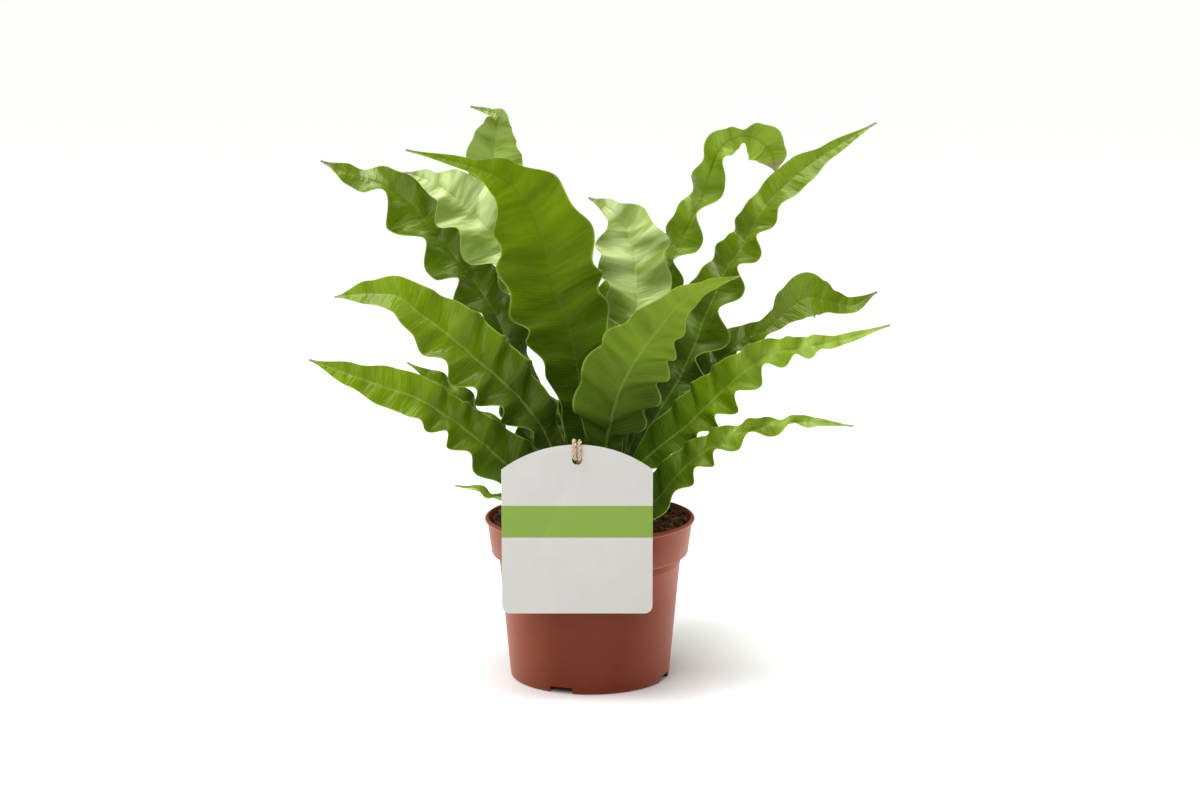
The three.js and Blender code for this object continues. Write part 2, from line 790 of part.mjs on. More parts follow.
// The twine passes round the tied frond's stalk, over the tag's top edge, down through the
// hole, up behind and over the edge again, and back to the stalk, where its ends are knotted.
function tieGeometry() {
  const { root } = FRONDS[TIED_FROND];
  const stalk = stalkPoint(root, 1);
  const clear = GAP + TWINE_RADIUS;
  const front = TAG_BACK_Y - TAG_THICKNESS - clear;
  const back = TAG_BACK_Y + clear;
  const middle = TAG_BACK_Y - TAG_THICKNESS / 2;
  const over = TAG_TOP + clear + 0.5;
  const hole = TAG_TOP - TAG_HOLE_DROP;
  const left = TAG_X - TWINE_RADIUS - 0.1;
  const right = TAG_X + TWINE_RADIUS + 0.1;
  const behind = stalk.y + STALK_HALF_WIDTH + 3;
  const route = [
    [stalk.x - 0.6, behind, stalk.z + 1],
    [stalk.x - 3.5, behind - 2, stalk.z + 1],
    [stalk.x - 5, stalk.y - 3, stalk.z + 1],
    [lerp(stalk.x, left, 0.5) - 2, lerp(stalk.y, back, 0.5), lerp(stalk.z, over, 0.42)],
    [left - 0.6, back + 4, over - 2.4],
    [left - 0.5, middle, over],
    [left - 0.4, front - 0.3, over - 2.4],
    [left, front, hole + 2.2],
    [left, middle, hole - 0.2],
    [left, back, hole + 2.2],
    [lerp(left, right, 0.6), back, over - 3],
    [right + 0.5, middle, over],
    [right + 0.5, front - 0.3, over - 2.4],
    [right, front, hole + 2.2],
    [right, middle, hole - 0.2],
    [right, back + 0.6, hole - 0.6],
    [lerp(stalk.x, right, 0.5), lerp(stalk.y, back, 0.5), lerp(stalk.z, hole, 0.42)],
    [stalk.x + 5, stalk.y - 3, stalk.z + 1],
    [stalk.x + 3.5, behind - 2, stalk.z + 1],
    [stalk.x + 0.6, behind, stalk.z + 1],
  ];
  const points = route.map((place) => new THREE.Vector3(...place));
  const path = new THREE.CatmullRomCurve3(points, false, "centripetal");
  const section = new THREE.Shape();
  section.absarc(0, 0, TWINE_RADIUS, 0, 2 * Math.PI);
  const options = { steps: 78, curveSegments: 4, bevelEnabled: false, extrudePath: path };
  const twine = solidFrom(new THREE.ExtrudeGeometry(section, options));
  const knot = new THREE.SphereGeometry(1.5 * TWINE_RADIUS, 10, 6);
  knot.translate(stalk.x, behind, stalk.z + 1);
  return geometryFrom(twine.add(solidFrom(knot)));
}

// The assembly

const PLASTIC = { color: 0xa5563f, roughness: 0.55, metalness: 0 };
const PEAT = { color: 0x4a2a1a, roughness: 0.95, metalness: 0 };
const RHIZOME = { color: 0x3a2a18, roughness: 0.9, metalness: 0 };
const LEAF = { color: 0x6e8f1e, roughness: 0.4, metalness: 0 };
const CARD = { color: 0xdedbd4, roughness: 0.7, metalness: 0 };
const TWINE = { color: 0xd8b888, roughness: 0.9, metalness: 0 };

const plant = new THREE.Group();

function place(name, geometry, finish) {
  geometry.computeVertexNormals();
  const mesh = new THREE.Mesh(geometry, new THREE.MeshStandardMaterial(finish));
  mesh.name = name;
  plant.add(mesh);
}

place("pot", potGeometry(), PLASTIC);
place("soil", soilGeometry(), PEAT);
place("crown", crownGeometry(), RHIZOME);
for (const [name, frond] of Object.entries(FRONDS))
  place("frond_" + name, bladeGeometry(frond), LEAF);
place("tag", tagGeometry(), CARD);
place("tag_tie", tieGeometry(), TWINE);

export default plant;
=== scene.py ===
# A crispy wave fern in a 12 cm nursery pot, with a hang tag on a twine tie. The origin is
# the middle of the pot's underside, +Z is up, and the tag hangs at the front, towards -Y.
# Sizes are in millimetres, and MM turns them to metres.
import math

import bpy
import numpy as np
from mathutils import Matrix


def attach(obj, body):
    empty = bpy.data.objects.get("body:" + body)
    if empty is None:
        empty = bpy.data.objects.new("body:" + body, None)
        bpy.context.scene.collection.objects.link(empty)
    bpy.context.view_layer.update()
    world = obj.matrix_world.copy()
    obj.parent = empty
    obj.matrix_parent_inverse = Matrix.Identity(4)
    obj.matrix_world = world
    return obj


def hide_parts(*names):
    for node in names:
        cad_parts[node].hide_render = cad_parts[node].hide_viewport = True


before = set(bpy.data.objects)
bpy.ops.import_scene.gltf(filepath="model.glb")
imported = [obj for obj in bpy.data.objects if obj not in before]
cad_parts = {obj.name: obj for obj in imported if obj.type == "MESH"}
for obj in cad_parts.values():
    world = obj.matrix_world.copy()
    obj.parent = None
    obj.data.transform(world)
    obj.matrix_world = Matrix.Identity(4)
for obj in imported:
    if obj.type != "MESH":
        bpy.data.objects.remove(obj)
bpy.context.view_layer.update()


# The studio. A pale floor under soft light: a broad sun from above, a wide box high in front,
# a lamp overhead and one at either side for the sheen on the fronds, and a faint white sky.
# The camera has a long lens and looks a little down on the pot.


def colour(code):
    """An sRGB hex value as linear RGBA."""
    parts = [int(code[i:i + 2], 16) / 255 for i in (1, 3, 5)]
    linear = [c / 12.92 if c <= 0.04045 else ((c + 0.055) / 1.055) ** 2.4 for c in parts]
    return (*linear, 1.0)


def surface(name, **sockets):
    """A material of one Principled shader, with its sockets set."""
    material = bpy.data.materials.new(name)
    material.use_nodes = True
    shader = material.node_tree.nodes["Principled BSDF"]
    for socket, value in sockets.items():
        label = socket.replace("_", " ").title().replace("Ior", "IOR")
        shader.inputs[label].default_value = value
    return material


def lamp(name, kind, energy, place, target, **settings):
    """A lamp at a place in metres, turned to face its target."""
    data = bpy.data.lights.new(name, kind)
    data.energy = energy
    for setting, value in settings.items():
        setattr(data, setting, value)
    made = bpy.data.objects.new(name, data)
    bpy.context.collection.objects.link(made)
    made.location = place
    aim = np.subtract(target, place)
    made.rotation_euler = (
        math.atan2(math.hypot(aim[0], aim[1]), -aim[2]), 0, math.atan2(aim[1], aim[0]) - math.pi / 2
    )


bpy.ops.object.camera_add(location=(0.0058, -1.386, 0.408), rotation=(math.radians(79.85), 0, 0))
camera = bpy.context.object
camera.data.sensor_width = 36
camera.data.lens = 74.46
camera.data.clip_end = 100
bpy.context.scene.camera = camera

world = bpy.data.worlds.new("white_sky")
world.use_nodes = True
sky = world.node_tree.nodes["Background"].inputs
sky["Color"].default_value = colour("#FFFFFF")
sky["Strength"].default_value = 0.16
bpy.context.scene.world = world
bpy.context.scene.view_settings.view_transform = "Standard"

lamp("sun_above", "SUN", 2.85, (-0.4, -0.2, 2.2), (0, 0, 0.1), angle=math.radians(50))
lamp("front_box", "AREA", 13, (-0.3, -1.6, 1.25), (0, 0, 0.25),
     shape="RECTANGLE", size=1.6, size_y=0.9)
lamp("overhead_box", "AREA", 6, (0, 0.4, 1.2), (0, 0, 0.2), shape="DISK", size=0.8)
lamp("left_box", "AREA", 2, (-1.0, 0.3, 0.6), (0, 0, 0.2), shape="DISK", size=0.5)
lamp("right_box", "AREA", 2, (1.0, 0.3, 0.6), (0, 0, 0.2), shape="DISK", size=0.5)

bpy.ops.mesh.primitive_plane_add(size=80)
floor = bpy.context.object
floor.name = "studio_floor"
sweep = surface("matte_white_sweep", base_color=colour("#FEFEFD"), roughness=0.9)
floor.data.materials.append(sweep)


# The pot. Injection-moulded polypropylene in terracotta colour: a tapered wall under a wide
# collar with a rolled rim, standing on a thin ring that is cut by four notches. The profile
# is drawn point by point and spun round.

MM = 0.001
POT_HEIGHT = 93
RIM_RADIUS = 60
RIM_LIP = 1.1
RIM_ROUND = 2.6
COLLAR_FOOT = 72.5
COLLAR_MIDDLE = 82
COLLAR_RADIUS = 56.2
LEDGE = 2.2
BEAD_HEIGHT = 66.5
WALL_TOP_RADIUS = 52.2
WALL_STEPS = (1.8, 20, 45)
POT_WALL = 1.2
BASE_RADIUS = 45.6
RING_WIDTH = 2.6
FOOT_RADIUS = 22
FLOOR_LIFT = 3.5
FLOOR = FLOOR_LIFT + POT_WALL
FLOOR_SLOPE = 2.4
NOTCH_WIDTH = 14
NOTCH_DEPTH = 12
NOTCH_TURN = math.radians(-111)
SLOT_LENGTH = 5
SLOT_WIDTH = 3.6


def between(a, b, share):
    """The value that lies a share of the way from a to b."""
    return a + (b - a) * share


def wall_radius(height):
    """The outside of the pot at a height. Both the wall and the collar lean out."""
    if height >= COLLAR_FOOT:
        share = (height - COLLAR_FOOT) / (POT_HEIGHT - COLLAR_FOOT)
        return between(COLLAR_RADIUS, RIM_RADIUS - RIM_LIP, share)
    return between(BASE_RADIUS, WALL_TOP_RADIUS, height / COLLAR_FOOT)


def turned(name, profile, steps=120):
    """A closed solid of revolution from points of (radius, height)."""
    bpy.ops.mesh.primitive_plane_add(size=1)
    piece = bpy.context.object
    piece.name = name
    bpy.ops.object.mode_set(mode="EDIT")
    bpy.ops.mesh.merge(type="CENTER")
    bpy.ops.transform.translate(value=(profile[0][0] * MM, 0, profile[0][1] * MM))
    for (r0, z0), (r1, z1) in zip(profile, profile[1:]):
        move = {"value": ((r1 - r0) * MM, 0, (z1 - z0) * MM)}
        bpy.ops.mesh.extrude_vertices_move(TRANSFORM_OT_translate=move)
    bpy.ops.mesh.select_all(action="SELECT")
    bpy.ops.mesh.spin(steps=steps, angle=math.tau, center=(0, 0, 0), axis=(0, 0, 1))
    bpy.ops.mesh.select_all(action="SELECT")
    bpy.ops.mesh.remove_doubles(threshold=0.02 * MM)
    bpy.ops.mesh.normals_make_consistent(inside=False)
    bpy.ops.object.mode_set(mode="OBJECT")
    return piece


def cut(piece, cutter, operation="DIFFERENCE"):
    """Cuts a piece with another, which is then deleted."""
    bpy.context.view_layer.objects.active = piece
    modifier = piece.modifiers.new("cut", "BOOLEAN")
    modifier.object = cutter
    modifier.operation = operation
    modifier.solver = "EXACT"
    bpy.ops.object.modifier_apply(modifier="cut")
    bpy.data.objects.remove(cutter, do_unlink=True)


def add(material, kind, settings, links=()):
    """A node with its settings and links. Lower-case settings are the node's own, and the
    others are sockets, by name or number. A link goes from a source, which is a node and
    the number of its output, to a socket."""
    made = material.node_tree.nodes.new("ShaderNode" + kind)
    for name, value in settings.items():
        if isinstance(name, str) and name.islower():
            setattr(made, name, value)
        else:
            made.inputs[name].default_value = value
    for name, (source, output) in dict(links).items():
        material.node_tree.links.new(source.outputs[output], made.inputs[name])
    return made


def remap(material, source, old, new=(0, 1), kind="LINEAR"):
    """A source that turns one range of another's values to a new range."""
    limits = {"From Min": old[0], "From Max": old[1], "To Min": new[0], "To Max": new[1]}
    settings = {"interpolation_type": kind, **limits}
    return add(material, "MapRange", settings, {"Value": source}), 0


def mix(material, share, low, high):
    """A source that mixes two colours, each a hex value or a source."""
    settings, links = {"data_type": "RGBA"}, {0: share}
    for socket, end in ((6, low), (7, high)):
        if isinstance(end, str):
            settings[socket] = colour(end)
        else:
            links[socket] = end
    return add(material, "Mix", settings, links), 2


def finish_surface(material, links):
    """Links sources to the sockets of the Principled shader."""
    shader = material.node_tree.nodes["Principled BSDF"]
    for name, (source, output) in links.items():
        material.node_tree.links.new(source.outputs[output], shader.inputs[name])


def done(piece, node, material, angle=None):
    """Puts a finished piece in its CAD node's place. Its transform goes into its mesh."""
    bpy.ops.object.select_all(action="DESELECT")
    piece.select_set(True)
    bpy.context.view_layer.objects.active = piece
    bpy.ops.object.transform_apply(location=True, rotation=True, scale=True)
    if angle is not None:
        bpy.ops.object.shade_smooth_by_angle(angle=math.radians(angle))
    piece.data.materials.clear()
    piece.data.materials.append(material)
    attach(piece, "root")
    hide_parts(node)
    piece.select_set(False)


# The profile goes out over the floor and the foot, up the outside, round the rim and down the
# inside. Its smallest steps round the corners, and make a bead and the ledge under the collar.
ledge_foot = COLLAR_FOOT - LEDGE
pot_profile = [
    (0, 0), (FOOT_RADIUS, 0), (FOOT_RADIUS + 0.4, 0.3), (FOOT_RADIUS + 1.8, FLOOR_LIFT - 0.3),
    (FOOT_RADIUS + 2.2, FLOOR_LIFT), (BASE_RADIUS - 3.3, FLOOR_LIFT),
    (BASE_RADIUS - RING_WIDTH, 0.25), (BASE_RADIUS - RING_WIDTH + 0.25, 0),
    (BASE_RADIUS - 0.9, 0), (BASE_RADIUS - 0.35, 0.3), (BASE_RADIUS, 0.9),
    *((wall_radius(height), height) for height in WALL_STEPS),
    (wall_radius(BEAD_HEIGHT - 0.3), BEAD_HEIGHT - 0.3),
    (wall_radius(BEAD_HEIGHT) + 0.22, BEAD_HEIGHT),
    (wall_radius(BEAD_HEIGHT + 0.5) + 0.2, BEAD_HEIGHT + 0.5),
    (wall_radius(ledge_foot), ledge_foot), (wall_radius(ledge_foot) + 0.4, ledge_foot + 0.1),
    (COLLAR_RADIUS - 0.4, COLLAR_FOOT - 0.4), (COLLAR_RADIUS, COLLAR_FOOT + 0.3),
    (wall_radius(COLLAR_MIDDLE), COLLAR_MIDDLE),
    (wall_radius(POT_HEIGHT - RIM_ROUND - 0.2), POT_HEIGHT - RIM_ROUND - 0.2),
]
for turn in np.radians(np.linspace(-60, 120, 9)):
    pot_profile.append((
        RIM_RADIUS + RIM_ROUND / 2 * (math.cos(turn) - 1),
        POT_HEIGHT + RIM_ROUND / 2 * (math.sin(turn) - 1),
    ))
pot_profile += [
    (wall_radius(POT_HEIGHT) - POT_WALL, POT_HEIGHT - POT_WALL),
    (wall_radius(COLLAR_MIDDLE) - POT_WALL, COLLAR_MIDDLE),
    (COLLAR_RADIUS - POT_WALL, COLLAR_FOOT + 1.1),
    (wall_radius(ledge_foot) - POT_WALL, ledge_foot + 0.6),
    (wall_radius(FLOOR + FLOOR_SLOPE) - POT_WALL, FLOOR + FLOOR_SLOPE),
    (BASE_RADIUS - FLOOR_SLOPE, FLOOR), (FOOT_RADIUS + 1.4, FLOOR), (FOOT_RADIUS - 1, POT_WALL),
    (0, POT_WALL),
]
pot = turned("pot_moulded", pot_profile)
for quarter in range(4):
    turn = NOTCH_TURN + quarter * math.pi / 2
    for reach, size in (
        (BASE_RADIUS, (NOTCH_DEPTH, NOTCH_WIDTH, 2 * FLOOR_LIFT + 0.3)),
        (BASE_RADIUS - NOTCH_DEPTH + SLOT_LENGTH, (SLOT_LENGTH, SLOT_WIDTH, 3 * FLOOR)),
    ):
        place = (reach * MM * math.cos(turn), reach * MM * math.sin(turn), 0)
        bpy.ops.mesh.primitive_cube_add(size=MM, location=place, rotation=(0, 0, turn), scale=size)
        cut(pot, bpy.context.object)

# Polypropylene has a soft waxy gloss. The mould leaves a fine grain of about 0.4 mm, and the
# colour is a little cloudy from the regrind in it.
plastic = surface("terracotta_polypropylene", specular_ior_level=0.2, ior=1.49)
where = add(plastic, "TexCoord", {})
cloud = add(plastic, "TexNoise", {"Scale": 38.0, "Detail": 4.0}, {"Vector": (where, 3)})
grain = add(plastic, "TexNoise", {"Scale": 2500.0, "Detail": 2.0}, {"Vector": (where, 3)})
# The colour is painted paler towards the outline than face on: a painted sheen of the light from
# the sides and from behind.
edge_on = add(plastic, "LayerWeight", {"Blend": 0.45})
rim_sheen_share = remap(plastic, (edge_on, 1), (0.12, 0.9))
shade = mix(plastic, (cloud, 0), "#68270E", "#742E14")
painted_rim_sheen = mix(plastic, rim_sheen_share, shade, "#B06046")
gloss = remap(plastic, (cloud, 0), (0, 1), (0.36, 0.5))
relief = add(plastic, "Bump", {"Strength": 0.25, "Distance": 0.08 * MM}, {"Height": (grain, 0)})
finish_surface(plastic, {"Base Color": painted_rim_sheen, "Roughness": gloss, "Normal": (relief, 0)})
done(pot, "pot", plastic, angle=38)


# The peat. Damp, red-brown and crumbly, with pale fibres. A turned body fills the pot, its
# top is heaved a little, and crumbs and fibres lie all over it, some up against the rim.

SOIL_HEIGHT = 86
SOIL_CLEAR = 0.3
BANK_FOOT, BANK_TOP = 31, 48
CROWN_RADIUS = 29
CROWN_FOOT_RADIUS = CROWN_RADIUS - 4
CRUMBS = 2600
CRUMB_LEAST, CRUMB_MOST = 0.4, 2.4
FIBRES = 240
FIBRES_FROM, FIBRES_TO = 27, 55
SEED = 12
room = POT_WALL + 2 * SOIL_CLEAR
bottom = FLOOR + SOIL_CLEAR
soil_edge = wall_radius(SOIL_HEIGHT) - room
soil_profile = [
    (0, bottom), (BASE_RADIUS - 3.6, bottom),
    (wall_radius(FLOOR + FLOOR_SLOPE) - room, bottom + FLOOR_SLOPE),
    (wall_radius(ledge_foot) - room, COLLAR_FOOT - 1.1),
    (COLLAR_RADIUS - room, COLLAR_FOOT + LEDGE), (soil_edge, SOIL_HEIGHT - 1.4),
    *((soil_edge - 2 * ring, SOIL_HEIGHT) for ring in range(1, 14)),
    (CROWN_FOOT_RADIUS, SOIL_HEIGHT - 6), (0, SOIL_HEIGHT - 10.3),
]
soil = turned("peat", soil_profile)


def coordinates(mesh):
    """A mesh's vertices as rows of x, y, z in mm."""
    flat = np.empty(3 * len(mesh.vertices))
    mesh.vertices.foreach_get("co", flat)
    return flat.reshape(-1, 3) / MM


def smoothstep(x, low, high):
    """0 below low, 1 above high, and an even curve between them."""
    t = np.clip((x - low) / (high - low), 0, 1)
    return t * t * (3 - 2 * t)


def heave(x, y):
    """The rise and fall of the peat's top, in mm. It is banked up to the rim."""
    broad = 0.9 * np.sin(x / 7.1 + 1.3) * np.cos(y / 6.3)
    fine = 0.5 * np.sin(x / 2.9) * np.sin(y / 3.4 + 2)
    return broad + fine + smoothstep(np.hypot(x, y), BANK_FOOT, BANK_TOP) * (4.8 + 0.006 * x)


def swarm(form, faces, places, sizes, rng):
    """Copies of a small closed form, each turned, sized and placed, as one list of faces."""
    count = len(places)
    spin = rng.normal(size=(count, 3, 3))
    frames, _ = np.linalg.qr(spin)
    frames *= np.sign(np.linalg.det(frames))[:, None, None]
    points = np.einsum("vi,nij->nvj", form, frames * sizes[:, :, None]) + places[:, None]
    index = faces[None] + np.arange(count)[:, None, None] * len(form)
    return points.reshape(-1, 3), index.reshape(-1, faces.shape[1])


def append_faces(piece, points, faces):
    """Adds vertices, in mm, and faces to a piece's mesh."""
    old = piece.data
    before = [tuple(v) for v in coordinates(old) * MM]
    kept = [tuple(p.vertices) for p in old.polygons]
    shifted = [tuple(int(i) + len(before) for i in face) for face in faces]
    made = bpy.data.meshes.new(old.name)
    made.from_pydata(before + [tuple(p) for p in np.asarray(points) * MM], [], kept + shifted)
    made.update()
    piece.data = made


points = coordinates(soil.data)
radius = np.hypot(points[:, 0], points[:, 1])
top = (points[:, 2] > SOIL_HEIGHT - 2) & (radius < soil_edge - 1)
points[top, 2] += heave(points[top, 0], points[top, 1])
soil.data.vertices.foreach_set("co", (points * MM).ravel())

bpy.ops.mesh.primitive_ico_sphere_add(subdivisions=1, radius=MM)
crumb = bpy.context.object
crumb_form = coordinates(crumb.data)
crumb_faces = np.array([tuple(p.vertices) for p in crumb.data.polygons])
bpy.data.objects.remove(crumb, do_unlink=True)

rng = np.random.default_rng(SEED)
angle = rng.uniform(0, math.tau, CRUMBS)
reach = np.sqrt(rng.uniform(CROWN_FOOT_RADIUS ** 2, (soil_edge - 1.2) ** 2, CRUMBS))
size = rng.gamma(3.0, 0.33, CRUMBS).clip(CRUMB_LEAST, CRUMB_MOST)
places = np.stack([reach * np.cos(angle), reach * np.sin(angle), np.full(CRUMBS, SOIL_HEIGHT)], 1)
places[:, 2] += heave(places[:, 0], places[:, 1]) + 0.35 * size
sizes = size[:, None] * rng.uniform(0.45, 1.0, (CRUMBS, 3))
crumbs, crumb_index = swarm(crumb_form, crumb_faces, places, sizes, rng)
append_faces(soil, crumbs, crumb_index)


def hair(start, heading, bend, length, radius, parts=5):
    """A three-sided thread that thins out to its tip, as points and faces."""
    heading = heading / np.linalg.norm(heading)
    side = np.cross(heading, bend)
    side /= np.linalg.norm(side)
    up = np.cross(side, heading)
    rows, faces = [], []
    for part in range(parts + 1):
        share = part / parts
        middle = start + heading * length * share + bend * length * share * share * 0.5
        thick = radius * (1 - 0.6 * share)
        for corner in range(3):
            turn = corner * math.tau / 3
            rows.append(middle + thick * (math.cos(turn) * side + math.sin(turn) * up))
        if part:
            for corner in range(3):
                a, b = 3 * part + corner, 3 * part + (corner + 1) % 3
                faces.append((a - 3, b - 3, b, a))
    faces += [(2, 1, 0), (3 * parts, 3 * parts + 1, 3 * parts + 2)]
    return rows, faces


def hairs(piece, all_hairs):
    """Adds hairs to a piece as four-sided and three-sided faces."""
    rows, faces = [], []
    for hair_rows, hair_faces in all_hairs:
        faces += [tuple(i + len(rows) for i in face) for face in hair_faces]
        rows += hair_rows
    append_faces(piece, rows, faces)


fibres = []
for _ in range(FIBRES):
    turn = rng.uniform(0, math.tau)
    reach = math.sqrt(rng.uniform(FIBRES_FROM ** 2, FIBRES_TO ** 2))
    x, y = reach * math.cos(turn), reach * math.sin(turn)
    start = np.array([x, y, SOIL_HEIGHT + heave(x, y) + 0.4])
    heading = rng.normal(size=3) * (1, 1, 0.25)
    inward = -start * (1, 1, 0) / 60
    bend = rng.normal(size=3) * 0.5 + inward * 0.6 + (0, 0, 0.3)
    fibres.append(hair(start, heading, bend, rng.uniform(2.5, 7), rng.uniform(0.1, 0.22)))
hairs(soil, fibres)


def mottled(name, noise, limits, colours, strength, depth, **sockets):
    """A material that goes from one colour to another with a noise, which also raises it."""
    material = surface(name, **sockets)
    where = add(material, "TexCoord", {})
    blotch = add(material, "TexNoise", noise, {"Vector": (where, 3)})
    mixed = mix(material, remap(material, (blotch, 0), limits), *colours)
    relief = add(material, "Bump", {"Strength": strength, "Distance": depth * MM},
                 {"Height": (blotch, 0)})
    finish_surface(material, {"Base Color": mixed, "Normal": (relief, 0)})
    return material


# Damp peat is almost without gloss. Its colour goes from near black to rust over a few
# millimetres, and its grain is up to 0.5 mm deep.
peat = mottled(
    "damp_sphagnum_peat", {"Scale": 260.0, "Detail": 6.0, "Roughness": 0.65}, (0.35, 0.68),
    ("#1F140D", "#885C40"), 0.7, 0.5, roughness=0.93, specular_ior_level=0.25,
)
done(soil, "soil", peat)


# The crown. The fern's short rhizome, a low dome that bears the stalks, clad in narrow brown
# papery scales that overlap like shingles and stand up round the stalks.

CROWN_DOME = 9
CROWN_FOOT = 76
DOME_RADIUS = CROWN_RADIUS - 0.3
SCALES = 620
GOLDEN_TURN = math.radians(137.508)
crown_profile = [(0, CROWN_FOOT), (CROWN_FOOT_RADIUS, CROWN_FOOT), (DOME_RADIUS, SOIL_HEIGHT)]
for step in range(1, 13):
    turn = math.radians(7.5 * step)
    radius = 0 if step == 12 else DOME_RADIUS * math.cos(turn)
    crown_profile.append((radius, SOIL_HEIGHT + CROWN_DOME * math.sin(turn)))
crown = turned("rhizome", crown_profile, 72)

# A scale is ridged above and flat below. Those in the middle stand up, and the outer lie flat.
rows, faces = [], []
for i in range(SCALES):
    share = (i + 0.5) / SCALES
    turn = i * GOLDEN_TURN
    outward = np.array([math.cos(turn), math.sin(turn), 0])
    around = np.array([-math.sin(turn), math.cos(turn), 0])
    reach = (CROWN_RADIUS - 1) * math.sqrt(share)
    height = SOIL_HEIGHT + CROWN_DOME * math.sqrt(1 - share * 0.97)
    middle = outward * reach + (0, 0, height - 0.3)
    lean = outward * (0.55 + 0.3 * share) + (0, 0, 0.75 - 0.75 * share)
    lean = lean + around * rng.uniform(-0.35, 0.35)
    lean /= np.linalg.norm(lean)
    long, half = rng.uniform(3.4, 6.2), rng.uniform(0.55, 0.95)
    lift = np.cross(around, lean)
    first = len(rows)
    rows += [
        middle - around * half * 0.7, middle + around * half * 0.7,
        middle + lean * long * 0.45 + around * half, middle + lean * long * 0.45 - around * half,
        middle + lean * long + lift * 0.4, middle + lean * long * 0.4 + lift * 0.45,
    ]
    faces += [(first + a, first + b, first + c) for a, b, c in (
        (0, 1, 5), (1, 2, 5), (2, 4, 5), (4, 3, 5), (3, 0, 5),
        (1, 0, 2), (0, 3, 2), (3, 4, 2),
    )]
append_faces(crown, rows, faces)

# The scales are dry and papery, chestnut with darker patches, and shine very little.
scales = mottled(
    "rhizome_scales", {"Scale": 420.0, "Detail": 5.0}, (0.36, 0.66), ("#2A190F", "#6A4526"),
    0.5, 0.2, roughness=0.75, specular_ior_level=0.35,
)
done(crown, "crown", scales)
